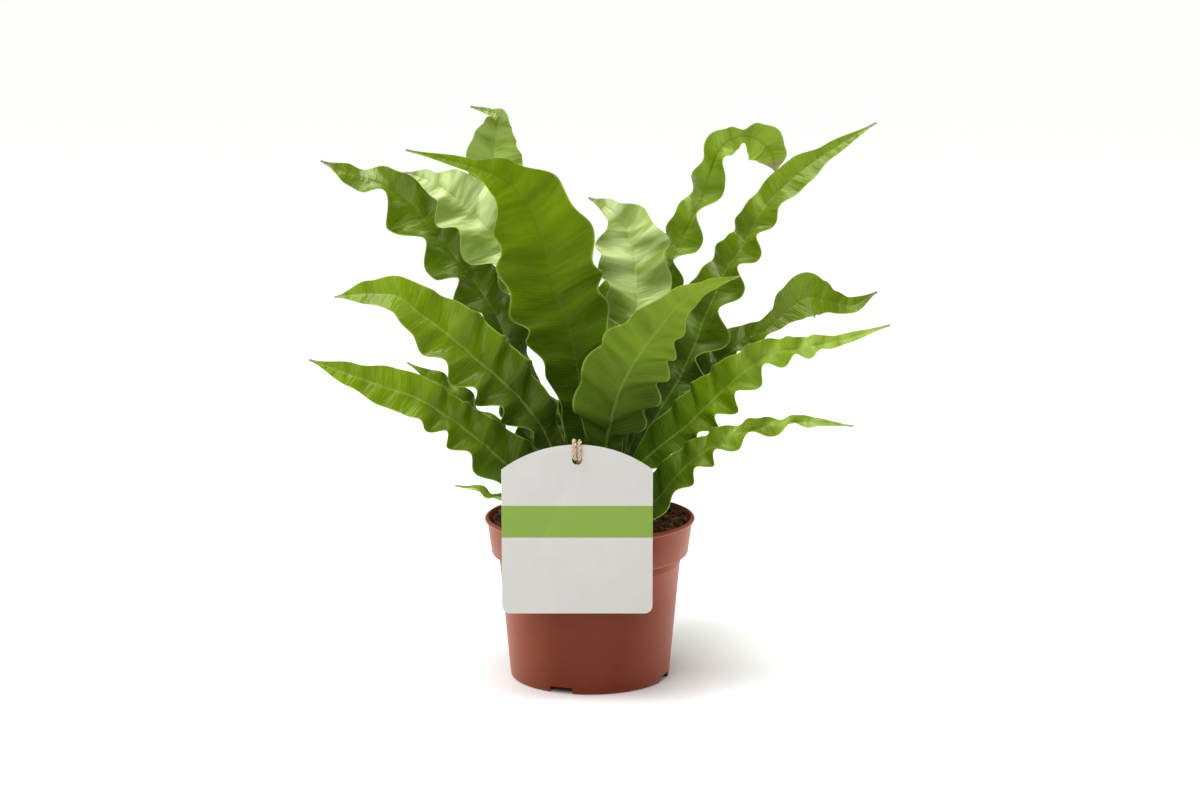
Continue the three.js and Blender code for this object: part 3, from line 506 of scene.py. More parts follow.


# The fronds. Undivided straps, leathery and wavy, each on a short stalk. A blade follows its
# spine, and both halves rise and fall in waves that grow from the midrib to the margin. The
# midrib is a groove above and a round rib below, and fine veins run out from it.

# root is where a stalk stands in the crown, and spine has points with the half width at each.
# face has directions that the upper side looks in, from foot to tip. wave and ruffle are the
# length and height of a wave. lag is how far the right margin's waves are behind the left's,
# and start where they begin, both in turns. From fade on, a share of the length, they die
# away. fold is how the bend grows across a half. tone goes from deep to pale green, partly
# the frond's own colour and partly painted light and shade, and it sets the painted sheen too.
# rib_tone goes from a midrib painted dark with the shade of its groove to a pale one, and skin
# says how waxy the frond is.
FRONDS = {
    "left_high": dict(
        root=(-14, 1), wave=34, ruffle=10, lag=0.15, start=0.2,
        fade=0.84, fold=0.2, tone=-0.15, rib_tone=0.4, skin="glossy",
        spine=[(-27, 8, 141, 8), (-43, 24, 171, 12), (-53, 38, 199, 15), (-66, 47, 219, 17),
               (-79, 53, 235, 17), (-92, 57, 250, 19), (-105, 58, 266, 19), (-122, 57, 277, 12),
               (-140, 56, 283, 6), (-156, 54, 291, 0.6)],
        face=[(0.6, -0.9, 0.2), (0.35, -0.85, 0.3), (0.2, -0.8, 0.6)],
    ),
    "left_pale": dict(
        root=(-12, 8), wave=25, ruffle=6, lag=0, start=0.5,
        fade=0.84, fold=0, tone=0.9, rib_tone=0.9, skin="glossy",
        spine=[(-10, 17, 152, 6), (-18, 25, 200, 10), (-29, 32, 220.5, 16), (-44, 39, 237.5, 21),
               (-59, 45, 252.5, 23.5), (-72, 50, 264, 21), (-83, 53, 273.5, 15),
               (-94, 54, 279.5, 7), (-107, 53, 284.5, 0.6)],
        face=[(0.8, -0.8, 0.2), (0.2, -1, 0.5), (0.2, -0.8, 0.8)],
    ),
    "top": dict(
        root=(-5, 6), wave=26, ruffle=5, lag=0, start=0.17,
        fade=0.64, fold=0, tone=0.4, rib_tone=0.6, skin="glossy",
        spine=[(-2, 31, 145, 6), (-20, 54, 193, 9), (-42, 68, 237, 14), (-53, 76, 270, 16),
               (-57, 79, 291, 17), (-56, 80, 302, 13), (-54, 80, 310.5, 8.5), (-53, 80, 315, 4.5),
               (-59, 79, 317.5, 2.2), (-70, 76, 321, 0.6)],
        face=[(0.4, -1, 0.2), (0.2, -1, 0.1), (0.1, -0.9, 0.5)],
    ),
    "centre_broad": dict(
        root=(-1, -4), wave=24, ruffle=3.6, lag=0.7, start=0,
        fade=0.66, fold=0.3, tone=-0.1, rib_tone=0.1, skin="dull",
        spine=[(-4, 4, 153, 13), (-12, 7, 199, 24), (-21, 9, 223, 28), (-27, 11, 249, 28),
               (-36, 12, 270, 23), (-49, 11, 284, 12), (-68, 9, 292, 4), (-103, 6, 301, 0.6)],
        face=[(0.1, -1, 0.1), (0.1, -1, 0.1), (0.1, -0.8, 0.6)],
    ),
    "centre_back": dict(
        root=(6, 4), wave=24, ruffle=5.5, lag=0.4, start=0.5,
        fade=0.8, fold=-0.1, tone=0.85, rib_tone=0.8, skin="glossy",
        spine=[(13, 12, 146, 7), (25, 26, 196, 17), (27, 38, 223, 19), (24, 47, 240.5, 21.5),
               (20, 53, 254.5, 15), (12, 55, 262.5, 6), (-1, 55, 269.5, 0.6)],
        face=[(-0.2, -1, 0.2), (-0.1, -1, 0.5), (0, -0.8, 0.7)],
    ),
    "right_ruffled": dict(
        root=(10, 11), wave=31, ruffle=12, lag=0.8, start=0,
        fade=0.75, fold=0.1, tone=0.25, rib_tone=0.1, skin="satin",
        spine=[(20, 24, 144.5, 6), (34, 47, 199, 11), (48.5, 59, 234, 11.5),
               (59.5, 64, 256, 11.5), (67, 66, 273, 11), (71.5, 67, 287, 8.5),
               (77, 67, 298, 10.5), (83.5, 66, 303, 7), (89.5, 64.5, 304.5, 3.8),
               (95.5, 63, 303.5, 9.5), (101.5, 61, 299.5, 12.5), (106, 58.5, 293, 9),
               (108, 56, 284, 0.6)],
        face=[(-0.6, -1, 0.2), (-0.64, -0.77, 0), (-0.64, -0.77, 0), (0, -1, 0.1)],
    ),
    "right_high": dict(
        root=(14, 3), wave=26, ruffle=8, lag=0.4, start=0.4,
        fade=0.66, fold=0.1, tone=-0.1, rib_tone=0.5, skin="satin",
        spine=[(34, 8, 141, 8), (54, 14, 175, 16), (66, 20, 204, 18), (77, 24, 229, 14),
               (89, 27, 247, 11.5), (98, 29, 264, 10.5), (108, 31, 275, 10.5),
               (121, 34, 286.5, 10), (137, 37, 297.5, 5), (164, 40, 314, 0.6)],
        face=[(-1, -0.6, 0.3), (-0.5, -0.8, 0.3), (-0.3, -0.8, 0.5)],
    ),
    "front": dict(
        root=(4, -13), wave=19, ruffle=3.3, lag=0.5, start=0,
        fade=0.66, fold=-0.4, tone=-0.4, rib_tone=0.55, skin="dull",
        spine=[(9, -22, 138, 10), (12, -30, 154, 21), (17, -38, 173, 24), (26, -44, 191, 22),
               (37, -49, 207, 16), (50, -53, 223, 9), (64, -56, 232, 4), (81, -58, 238, 0.6)],
        face=[(0, 1, 0.3), (-0.1, 1, 0.4), (-0.1, 1, 0.5)],
    ),
    "right_back": dict(
        root=(21, 9), wave=20, ruffle=5.5, lag=0, start=0.67,
        fade=0.56, fold=0.1, tone=-0.35, rib_tone=0.3, skin="satin",
        spine=[(37, 14, 135, 6), (58, 21, 161, 11), (73, 25, 177, 12), (88, 28, 189, 12),
               (101, 29, 196, 6), (109, 30, 202, 7), (117, 32, 209, 12), (126, 33, 214, 15),
               (133, 34, 213, 11), (140, 34, 211, 7), (151, 35, 209, 5), (166, 36, 217, 0.6)],
        face=[(-1, -0.4, 0.5), (-0.3, -0.6, 0.6), (-0.1, -0.9, 0.4)],
    ),
    "right_long": dict(
        root=(12, -7), wave=18.5, ruffle=4.5, lag=0, start=0.4,
        fade=0.74, fold=0, tone=0.35, rib_tone=0.6, skin="dull",
        spine=[(27, -9, 122, 7), (40, -14, 136, 14), (54, -18, 148, 16), (67, -22, 162, 16),
               (82, -26, 177, 14), (98, -30, 190, 10), (118, -33, 195, 7), (140, -36, 200, 3.5),
               (165, -38, 208.5, 0.6)],
        face=[(-0.8, -0.5, 0.5), (-0.4, -0.75, 0.5), (-0.2, -0.7, 0.7)],
    ),
    "right_low": dict(
        root=(19, -13), wave=19, ruffle=4, lag=0.2, start=0,
        fade=0.76, fold=0, tone=0.3, rib_tone=0.5, skin="satin",
        spine=[(36, -30, 107, 17), (51, -40, 127, 12.5), (66, -46, 141, 10), (80, -50, 149, 8),
               (97, -53, 154.5, 6), (115, -55, 157.5, 4), (144, -56, 155.5, 0.6)],
        face=[(-0.5, -0.4, 0.8), (-0.2, -0.7, 0.7), (-0.1, -0.6, 0.8)],
    ),
    "left_middle": dict(
        root=(-12, -6), wave=23, ruffle=6, lag=0.8, start=0,
        fade=0.66, fold=-0.1, tone=-0.1, rib_tone=0.8, skin="satin",
        spine=[(-21, -10, 132, 9), (-32, -14, 154, 15), (-48, -20, 173, 20), (-64, -25, 188, 21),
               (-80, -29, 203, 20), (-93, -31, 213, 16), (-106, -33, 223.5, 12),
               (-121, -34, 225, 8), (-140, -35, 223.5, 0.6)],
        face=[(0.8, -0.5, 0.4), (0.35, -0.85, 0.4), (0.2, -0.7, 0.7)],
    ),
    "left_low": dict(
        root=(-7, -13), wave=20, ruffle=5, lag=0, start=0.75,
        fade=0.56, fold=-0.1, tone=0.05, rib_tone=0.8, skin="satin",
        spine=[(-25, -27, 113, 14), (-45, -32, 128, 19), (-63, -37, 145, 15), (-79, -41, 158, 13),
               (-96, -44, 169, 13), (-112, -46, 175, 12), (-130, -48, 182, 7),
               (-153, -49, 191, 0.6)],
        face=[(0.5, -0.5, 0.7), (0.3, -0.8, 0.5), (0.2, -0.9, 0.4)],
    ),
    "left_inner": dict(
        root=(-22, -2), wave=21, ruffle=5, lag=0.7, start=0,
        fade=0.76, fold=0, tone=-0.3, rib_tone=0.5, skin="satin",
        spine=[(-37, -2, 122, 11), (-52, 1, 137, 9), (-67, 4, 152, 9), (-83, 7, 166, 8),
               (-104, 9, 180, 0.6)],
        face=[(0.8, -0.4, 0.6), (0.4, -0.6, 0.7)],
    ),
    "left_young": dict(
        root=(-19, -13), wave=16, ruffle=1.5, lag=0.3, start=0,
        fade=0.84, fold=0, tone=0.3, rib_tone=0.5, skin="satin",
        spine=[(-33, -39, 107, 4.5), (-50, -45, 112.5, 5), (-62, -48, 118, 4),
               (-74, -50, 121, 0.6)],
        face=[(0.3, 0.2, 1), (0, -0.3, 1)],
    ),
    "back_left_high": dict(
        root=(-8, 13), wave=25, ruffle=6, lag=0.4, start=0,
        fade=0.74, fold=0, tone=0.1, rib_tone=0.5, skin="satin",
        spine=[(-10, 42, 148, 9), (-19, 69, 196, 13), (-30, 98, 236, 16), (-46, 130, 250, 9),
               (-56, 158, 245, 0.6)],
        face=[(0.4, -1, 0.4), (0.3, -0.9, 0.7), (0.2, -0.4, 1)],
    ),
    "back_high": dict(
        root=(2, 14), wave=24, ruffle=6, lag=0.6, start=0,
        fade=0.74, fold=0, tone=0.3, rib_tone=0.5, skin="satin",
        spine=[(9, 40, 145, 9), (16, 73, 193, 17), (29, 104, 224, 16), (34, 140, 230, 8),
               (36, 168, 222, 0.6)],
        face=[(-0.2, -1, 0.4), (-0.2, -0.9, 0.7), (-0.1, -0.4, 1)],
    ),
    "back_right": dict(
        root=(17, 17), wave=22, ruffle=5, lag=0.3, start=0,
        fade=0.74, fold=0, tone=0, rib_tone=0.5, skin="satin",
        spine=[(40, 30, 126, 9), (61, 54, 150, 14), (77, 78, 158, 11), (89, 102, 154, 6),
               (97, 120, 146, 0.6)],
        face=[(-0.7, -0.5, 0.6), (-0.4, -0.3, 1)],
    ),
    "back_left_low": dict(
        root=(-18, 14), wave=22, ruffle=5, lag=0.5, start=0,
        fade=0.74, fold=0, tone=0, rib_tone=0.5, skin="satin",
        spine=[(-30, 40, 118, 9), (-45, 70, 149, 15), (-58, 98, 167, 12), (-68, 122, 174, 6),
               (-75, 138, 171, 0.6)],
        face=[(0.6, -0.6, 0.6), (0.3, -0.3, 1)],
    ),
    "back_low": dict(
        root=(-4, 22), wave=20, ruffle=5, lag=0.4, start=0,
        fade=0.74, fold=0, tone=-0.2, rib_tone=0.5, skin="satin",
        spine=[(-10, 46, 120, 10), (-16, 78, 138, 16), (-20, 110, 140, 12), (-22, 136, 132, 6),
               (-23, 156, 120, 0.6)],
        face=[(0, -1, 0.7), (0, -0.4, 1)],
    ),
    "back_right_low": dict(
        root=(10, 21), wave=20, ruffle=5, lag=0.6, start=0,
        fade=0.74, fold=0, tone=0.2, rib_tone=0.5, skin="satin",
        spine=[(24, 42, 118, 9), (44, 70, 134, 14), (60, 98, 134, 11), (70, 122, 124, 5),
               (76, 138, 114, 0.6)],
        face=[(-0.4, -0.8, 0.7), (-0.2, -0.4, 1)],
    ),
}
# A stalk leans out from its foot in the crown to its neck, where the spine's points begin.
# Waves begin, are full and fade, and the groove grows, at shares of a frond's length. Waves
# drift in pitch and swell in height, so that no two are alike, and a blade is a little wider
# at each crest. ACROSS has the columns of a half, closer at the midrib and the margin.
STALK_FOOT = 80
STALK_NECK = 97
STALK_LEAN = 1.18
STALK_HALF_WIDTH = 2.4
BLADE_CUP = 0.22
WAVES_BEGIN, WAVES_FULL, FADE_LENGTH = 0.2, 0.42, 0.16
WAVE_DRIFT, DRIFT_SPAN, DRIFT_LAG = 0.9, 3.7, 9
WAVE_SWELL, SWELL_SPAN, SWELL_LAG = 0.25, 5.3, 5
SCALLOP, SCALLOP_LEAD = 0.07, 0.8
CREST_SLANT = 0.36
VEIN_SLANT = 0.3
ARC_STEPS = 200
STEPS_A_QUARTER = 6
ACROSS = np.array([0, 0.035, 0.08, 0.15, 0.25, 0.37, 0.5, 0.63, 0.75, 0.86, 0.94, 1.0])
FOLD_FROM = 0.08
STALK_KEEL, TIP_KEEL = 1.6, 0.2
KEEL_WIDTH, THIN_KEEL = 1.5, 0.4
GROOVE_DEPTH, GROOVE_WIDTH = 0.15, 0.8
GROOVE_BEGINS, GROOVE_FULL = 0.12, 0.3
THICK_MIDDLE, THICK_MARGIN = 0.7, 0.35


def spline(points, t):
    """Points of a centripetal Catmull-Rom curve through the given ones, at t from 0 to 1."""
    ends = 2 * points[0] - points[1], 2 * points[-1] - points[-2]
    padded = np.vstack([ends[0], points, ends[1]])
    place = np.clip(t, 0, 1) * (len(points) - 1)
    low = np.minimum(np.floor(place).astype(int), len(points) - 2)
    p0, p1, p2, p3 = (padded[low + i] for i in range(4))
    d0, d1, d2 = (np.linalg.norm(b - a, axis=1)[:, None] ** 0.5 for a, b in
                  ((p0, p1), (p1, p2), (p2, p3)))
    m1 = ((p1 - p0) / d0 - (p2 - p0) / (d0 + d1) + (p2 - p1) / d1) * d1
    m2 = ((p2 - p1) / d1 - (p3 - p1) / (d1 + d2) + (p3 - p2) / d2) * d1
    w = (place - low)[:, None]
    return (p1 + m1 * w + (3 * (p2 - p1) - 2 * m1 - m2) * w ** 2
            + (2 * (p1 - p2) + m1 + m2) * w ** 3)


def even_places(points, share):
    """The t of each share of the curve's length, and that length."""
    t = np.linspace(0, 1, ARC_STEPS + 1)
    steps = np.linalg.norm(np.diff(spline(points, t), axis=0), axis=1)
    lengths = np.concatenate([[0], np.cumsum(steps)])
    return np.interp(share * lengths[-1], lengths, t), lengths[-1]


def unit(vectors):
    """The vectors' directions."""
    return vectors / np.linalg.norm(vectors, axis=-1, keepdims=True)


def headings(points, t, step):
    """The directions of the curve at t, taken over a small step to either side."""
    return unit(spline(points, t + step) - spline(points, t - step))


def blade(name, root, spine, face, wave, ruffle, lag, start, fade, fold, tone, rib_tone):
    """The mesh of a frond. Rows run across it, from the left margin to the right."""
    stalk = [
        (*(between(1, STALK_LEAN, share) * value for value in root),
         between(STALK_FOOT, STALK_NECK, share))
        for share in (0, 0.5, 1)
    ]
    points = np.array(stalk + [p[:3] for p in spine], dtype=float)
    widths = np.array([STALK_HALF_WIDTH] * 3 + [p[3] for p in spine])
    length = even_places(points, 1)[1]
    quarters = round(4 * length / wave)
    phase = np.linspace(0, quarters * math.pi / 2, STEPS_A_QUARTER * quarters + 1)
    drifted = phase + WAVE_DRIFT * np.sin(phase / DRIFT_SPAN + DRIFT_LAG * lag)
    share = (drifted - drifted[0]) / (drifted[-1] - drifted[0])
    t = even_places(points, share)[0]
    middle = spline(points, t)
    along = headings(points, t, 1e-4)

    place = np.clip(t * (len(points) - 1), 0, len(points) - 1)
    low = np.minimum(np.floor(place).astype(int), len(points) - 2)
    half = between(widths[low], widths[low + 1], 0.5 - 0.5 * np.cos(np.pi * (place - low)))
    looks = np.array(face, dtype=float)
    turn_place = share * (len(face) - 1)
    look = np.stack([np.interp(turn_place, range(len(face)), looks[:, i]) for i in range(3)], 1)
    up = unit(look - along * np.sum(look * along, axis=1, keepdims=True))
    across = np.cross(along, up)

    # The sheet in the middle of the blade, as rows of points that tilt up and down in waves.
    faded = smoothstep(share, fade, fade + FADE_LENGTH)
    grown = smoothstep(share, WAVES_BEGIN, WAVES_FULL) * (1 - faded)
    swollen = 1 + WAVE_SWELL * np.sin(phase / SWELL_SPAN + SWELL_LAG * lag)
    columns = np.concatenate([-ACROSS[:0:-1], ACROSS])
    reach = np.abs(columns)[None, :]
    slant = (math.tau * half * CREST_SLANT / wave)[:, None] * (1 - reach)
    turn = phase[:, None] + math.tau * (start + np.where(columns < 0, 0, lag))[None, :]
    steep = np.arctan2(ruffle * grown * swollen, half)
    bend = steep[:, None] * np.maximum(reach, FOLD_FROM) ** fold
    tilt = BLADE_CUP + bend * np.sin(turn + slant)
    width = half[:, None] * (1 + SCALLOP * grown[:, None] * np.cos(turn + SCALLOP_LEAD))
    run = width * reach
    sheet = (
        middle[:, None]
        + across[:, None] * (np.sign(columns) * run * np.cos(tilt))[..., None]
        + up[:, None] * (run * np.sin(tilt))[..., None]
    )

    # The faces on either side of it, with the groove above the midrib and the keel below.
    normal = unit(np.cross(np.gradient(sheet, axis=1), np.gradient(sheet, axis=0)))
    keel = between(STALK_KEEL, TIP_KEEL, np.sqrt(share))[:, None]
    rib = np.exp(-(run / (KEEL_WIDTH * between(THIN_KEEL, 1, keel / STALK_KEEL))) ** 2)
    grooved = smoothstep(share, GROOVE_BEGINS, GROOVE_FULL)[:, None]
    groove = GROOVE_DEPTH * grooved * np.exp(-(run / GROOVE_WIDTH) ** 2)
    thick = between(THICK_MIDDLE, THICK_MARGIN, reach)
    upper = sheet + normal * (thick / 2 - groove)[..., None]
    lower = sheet - normal * (thick / 2 + keel * rib)[..., None]

    count, wide = sheet.shape[:2]
    grid = np.arange(count * wide).reshape(count, wide)
    top = np.stack([grid[:-1, :-1], grid[:-1, 1:], grid[1:, 1:], grid[1:, :-1]], -1).reshape(-1, 4)
    bottom = top[:, ::-1] + count * wide
    loop = np.concatenate([grid[0], grid[1:, -1], grid[-1, -2::-1], grid[-2:0:-1, 0]])
    after = np.roll(loop, -1)
    edge = np.stack([after, loop, loop + count * wide, after + count * wide], -1)
    mesh = bpy.data.meshes.new("frond_" + name)
    mesh.from_pydata(
        np.concatenate([upper.reshape(-1, 3), lower.reshape(-1, 3)]) * MM, [],
        np.concatenate([top, bottom, edge]).tolist(),
    )
    mesh.update()

    # place says how far across and along a point is, and 1 on the upper face. grain has the
    # same in mm, slanted as the veins are, and the frond's tone. rib has its midrib's tone.
    place = np.stack([columns * np.ones((count, 1)), share[:, None] * np.ones((1, wide))], -1)
    grain = np.stack([np.sign(columns) * run, share[:, None] * length - run * VEIN_SLANT], -1)
    for label, values, thirds in (("place", place, (1, 0)), ("grain", grain, (tone, tone))):
        layer = mesh.attributes.new(label, "FLOAT_VECTOR", "POINT")
        flat = values.reshape(-1, 2)
        rows = [np.column_stack([flat, np.full(len(flat), third)]) for third in thirds]
        layer.data.foreach_set("vector", np.concatenate(rows).ravel())
    layer = mesh.attributes.new("rib", "FLOAT", "POINT")
    layer.data.foreach_set("value", np.full(2 * count * wide, rib_tone))
    return mesh


# A living frond has a waxy skin over soft green tissue that lets some light through. The
# upper face is deeper in colour and glossier, and the lower one paler and more matte. Veins
# stand about 1.2 mm apart and are drawn at 1.7 mm, so that they show, and shallow pleats
# run with them. Young fronds have the most wax and shine, and old dusty ones hardly do.
VEIN_SPACING = 1.7


def product(material, a, b):
    """A source that multiplies two others."""
    return add(material, "Math", {"operation": "MULTIPLY"}, {0: a, 1: b}), 0


def frond_skin(name, wax):
    """The fronds' material, with as much shine as their wax gives them."""
    leaf = surface(
        name, ior=1.45, specular_ior_level=wax, specular_tint=colour("#E8EDB8"),
        subsurface_weight=0.12, subsurface_radius=(0.6, 1.0, 0.12), subsurface_scale=0.002,
    )
    place = add(leaf, "Attribute", {"attribute_name": "place"})
    spot = add(leaf, "SeparateXYZ", {}, {0: (place, 1)})
    grain = add(leaf, "Attribute", {"attribute_name": "grain"})
    own = add(leaf, "SeparateXYZ", {}, {0: (grain, 1)})
    rib = add(leaf, "Attribute", {"attribute_name": "rib"})
    where = add(leaf, "TexCoord", {})
    cloud = add(leaf, "TexNoise", {"Scale": 28.0, "Detail": 3.0}, {"Vector": (where, 3)})
    fleck = add(leaf, "TexNoise", {"Scale": 240.0, "Detail": 3.0}, {"Vector": (where, 3)})
    wander = add(leaf, "Math", {"operation": "MULTIPLY_ADD", 1: 1.6}, {0: (fleck, 0), 2: (own, 1)})
    ripple = add(leaf, "Math", {"operation": "MULTIPLY", 1: math.tau / VEIN_SPACING},
                 {0: (wander, 0)})
    veins = add(leaf, "Math", {"operation": "SINE"}, {0: (ripple, 0)})
    drawn_out = add(leaf, "VectorMath", {"operation": "MULTIPLY", 1: (0.035, 0.12, 1.0)},
                    {0: (grain, 1)})
    pleat = add(leaf, "TexNoise", {"Scale": 1.0, "Detail": 2.0}, {"Vector": (drawn_out, 0)})

    # Each face is deep green at the foot and fresher at the tip; the deep green at the foot is
    # partly painted shade, where the fronds crowd round the crown. Pale fronds have a painted
    # sheen, a pale reflection of a bright sky, on the ridges of their pleats towards the tip.
    # The deep colour towards the foot is partly the frond's own and partly painted shade, where the
    # fronds crowd round the crown.
    young = remap(leaf, (spot, 1), (0.15, 0.9), kind="SMOOTHSTEP")
    upper = mix(leaf, young, "#263F02", "#6F8A06")
    lower = mix(leaf, young, "#304F0A", "#86A12B")
    faces = mix(leaf, (spot, 2), lower, upper)
    # A painted sheen: the pale reflection of a bright sky is painted on the ridges of the pleats,
    # towards the tip, and most on the palest fronds.
    sheen_towards_tip = remap(leaf, (spot, 1), (0.52, 0.85))
    ridge = remap(leaf, (pleat, 0), (0.4, 0.56), (0.25, 1))
    sheen_by_tone = remap(leaf, (own, 2), (0.2, 1.0), (0, 0.82))
    painted_sheen_share = product(leaf, sheen_by_tone, product(leaf, sheen_towards_tip, ridge))
    sheened = mix(leaf, painted_sheen_share, faces, "#C3CF98")
    uneven = remap(leaf, (cloud, 0), (0.3, 0.7), (0.86, 1.14))
    # The pleats are also painted lighter on their ridges and darker in their hollows: painted light
    # and painted shade over the bump that shapes them.
    pleat_shading = remap(leaf, (pleat, 0), (0.3, 0.7), (0.78, 1.16))
    # Each frond's green is made lighter or darker as a whole by its tone, partly its own colour and
    # partly painted light and shade.
    shade = remap(leaf, (own, 2), (-0.4, 0.4), (0.72, 1.2))
    value = product(leaf, product(leaf, uneven, pleat_shading), shade)
    dappled = add(leaf, "HueSaturation", {}, {"Value": value, "Color": sheened})

    # Over that lie the veins, the midrib, a pale margin and a dry tip.
    vein = remap(leaf, (veins, 0), (0.2, 1.0), (0, 0.05))
    veined = mix(leaf, vein, (dappled, 0), "#98B044")
    sideways = add(leaf, "Math", {"operation": "ABSOLUTE"}, {0: (own, 0)})
    # The midrib is pale, or painted dark where its tone is low: the dark one is painted shade of
    # the groove above it.
    midrib = remap(leaf, (sideways, 0), (0.3, 1.2), (0.32, 0), kind="SMOOTHSTEP")
    ribbed = mix(leaf, midrib, veined, mix(leaf, (rib, 2), "#3E5E0C", "#A6BC5E"))
    # The pale margin is partly the thin edge's own colour and partly a painted highlight along it.
    outward = add(leaf, "Math", {"operation": "ABSOLUTE"}, {0: (spot, 0)})
    margin = remap(leaf, (outward, 0), (0.95, 1.0), (0, 0.5))
    edged = mix(leaf, margin, ribbed, "#A6BC58")
    dry = remap(leaf, (spot, 1), (0.968, 0.995), kind="SMOOTHSTEP")
    tipped = mix(leaf, dry, edged, "#8C8068")

    smooth = remap(leaf, (spot, 2), (0, 1), (0.46, 0.31))
    dust = remap(leaf, (spot, 1), (0.15, 0.6), (0.25, 0))
    gloss = add(leaf, "Math", {"operation": "ADD"}, {0: smooth, 1: dust})
    swell = add(leaf, "Bump", {"Strength": 0.7, "Distance": 4 * MM}, {"Height": (pleat, 0)})
    height = add(leaf, "Math", {"operation": "MULTIPLY_ADD"},
                 {0: (veins, 0), 1: (pleat, 0), 2: (fleck, 0)})
    relief = add(leaf, "Bump", {"Strength": 0.35, "Distance": 0.12 * MM},
                 {"Height": (height, 0), "Normal": (swell, 0)})
    finish_surface(leaf, {"Base Color": tipped, "Roughness": (gloss, 0), "Normal": (relief, 0)})
    return leaf


skins = {
    "glossy": frond_skin("glossy_frond", 0.75),
    "satin": frond_skin("satin_frond", 0.35),
    "dull": frond_skin("dull_frond", 0.12),
}
for name, shape in FRONDS.items():
    skin = skins[shape.pop("skin")]
    frond = bpy.data.objects.new("blade_" + name, blade(name, **shape))
    bpy.context.collection.objects.link(frond)
    done(frond, "frond_" + name, skin, angle=60)


# The tag. Stiff uncoated card with an arched top, round lower corners and a punched hole,
# and a plain green band printed across its front. It hangs flat against the pot's rim.

TAG_WIDTH = 82.8
TAG_SHOULDER = 80.8
TAG_ARCH = 13.9
TAG_CORNER = 4.4
TAG_THICKNESS = 0.6
TAG_EDGE = 0.12
TAG_X = -6.7
TAG_BACK_Y = -RIM_RADIUS - 0.35
TAG_MIDDLE_Y = TAG_BACK_Y - TAG_THICKNESS / 2
TAG_BOTTOM = 51.3
TAG_TOP = TAG_BOTTOM + TAG_SHOULDER + TAG_ARCH
TAG_HOLE_Z = TAG_TOP - 8.3
TAG_HOLE_RADIUS = 2.75
BAND_BOTTOM, BAND_TOP = 94.2, 112.0
INK_DEPTH = 0.05


def disc(radius, z, vertices):
    """A cylinder along Y through the tag, in line with its middle."""
    bpy.ops.mesh.primitive_cylinder_add(
        vertices=vertices, radius=radius * MM, depth=10 * MM,
        location=(TAG_X * MM, TAG_MIDDLE_Y * MM, z * MM), rotation=(math.pi / 2, 0, 0),
    )
    return bpy.context.object


bpy.ops.mesh.primitive_cube_add(
    size=MM, location=(TAG_X * MM, TAG_MIDDLE_Y * MM, (TAG_BOTTOM + TAG_TOP) / 2 * MM),
    scale=(TAG_WIDTH, TAG_THICKNESS, TAG_TOP - TAG_BOTTOM),
)
tag = bpy.context.object
tag.name = "hang_tag"
bpy.ops.object.transform_apply(location=True, rotation=True, scale=True)
bpy.ops.object.mode_set(mode="EDIT")
bpy.ops.mesh.select_mode(type="EDGE")
bpy.ops.mesh.select_all(action="DESELECT")
bpy.ops.object.mode_set(mode="OBJECT")
for edge in tag.data.edges:
    ends = [tag.data.vertices[i].co for i in edge.vertices]
    low = all(end.z < (TAG_BOTTOM + 1) * MM for end in ends)
    edge.select = low and abs(ends[0].y - ends[1].y) > 0.1 * MM
bpy.ops.object.mode_set(mode="EDIT")
bpy.ops.mesh.bevel(offset=TAG_CORNER * MM, segments=8, affect="EDGES")
bpy.ops.object.mode_set(mode="OBJECT")
arch_radius = ((TAG_WIDTH / 2) ** 2 + TAG_ARCH ** 2) / (2 * TAG_ARCH)
cut(tag, disc(arch_radius, TAG_TOP - arch_radius, 256), "INTERSECT")
cut(tag, disc(TAG_HOLE_RADIUS, TAG_HOLE_Z, 48))
edges = tag.modifiers.new("edges", "BEVEL")
edges.width = TAG_EDGE * MM
edges.segments = 2
edges.limit_method = "ANGLE"
edges.angle_limit = math.radians(50)
bpy.context.view_layer.objects.active = tag
bpy.ops.object.modifier_apply(modifier="edges")

# Uncoated board is off-white and matte, with a fibrous tooth of about 0.4 mm. The band's ink
# is sunk into it and shines slightly more.
card = surface("uncoated_board", ior=1.5)
where = add(card, "TexCoord", {})
spot = add(card, "SeparateXYZ", {}, {0: (where, 3)})
above = add(card, "Math", {"operation": "GREATER_THAN", 1: BAND_BOTTOM * MM}, {0: (spot, 2)})
under = add(card, "Math", {"operation": "LESS_THAN", 1: BAND_TOP * MM}, {0: (spot, 2)})
ink_back = TAG_BACK_Y - TAG_THICKNESS + INK_DEPTH
front = add(card, "Math", {"operation": "LESS_THAN", 1: ink_back * MM}, {0: (spot, 1)})
printed = product(card, product(card, (above, 0), (under, 0)), (front, 0))
tooth = add(card, "TexNoise", {"Scale": 2600.0, "Detail": 3.0}, {"Vector": (where, 3)})
cloud = add(card, "TexNoise", {"Scale": 90.0, "Detail": 3.0}, {"Vector": (where, 3)})
board = mix(card, (cloud, 0), "#BFBDB8", "#C7C5C0")
ink = mix(card, (cloud, 0), "#769630", "#7C9C36")
gloss = remap(card, printed, (0, 1), (0.7, 0.58))
relief = add(card, "Bump", {"Strength": 0.3, "Distance": 0.05 * MM}, {"Height": (tooth, 0)})
finish_surface(card, {
    "Base Color": mix(card, printed, board, ink), "Roughness": gloss, "Normal": (relief, 0),
})
done(tag, "tag", card, angle=40)


# The tie. Two-ply natural twine, 2.4 mm thick. It goes round the front frond's stalk, over
# the tag's top edge and down through the hole, twice, and is knotted behind the stalk.

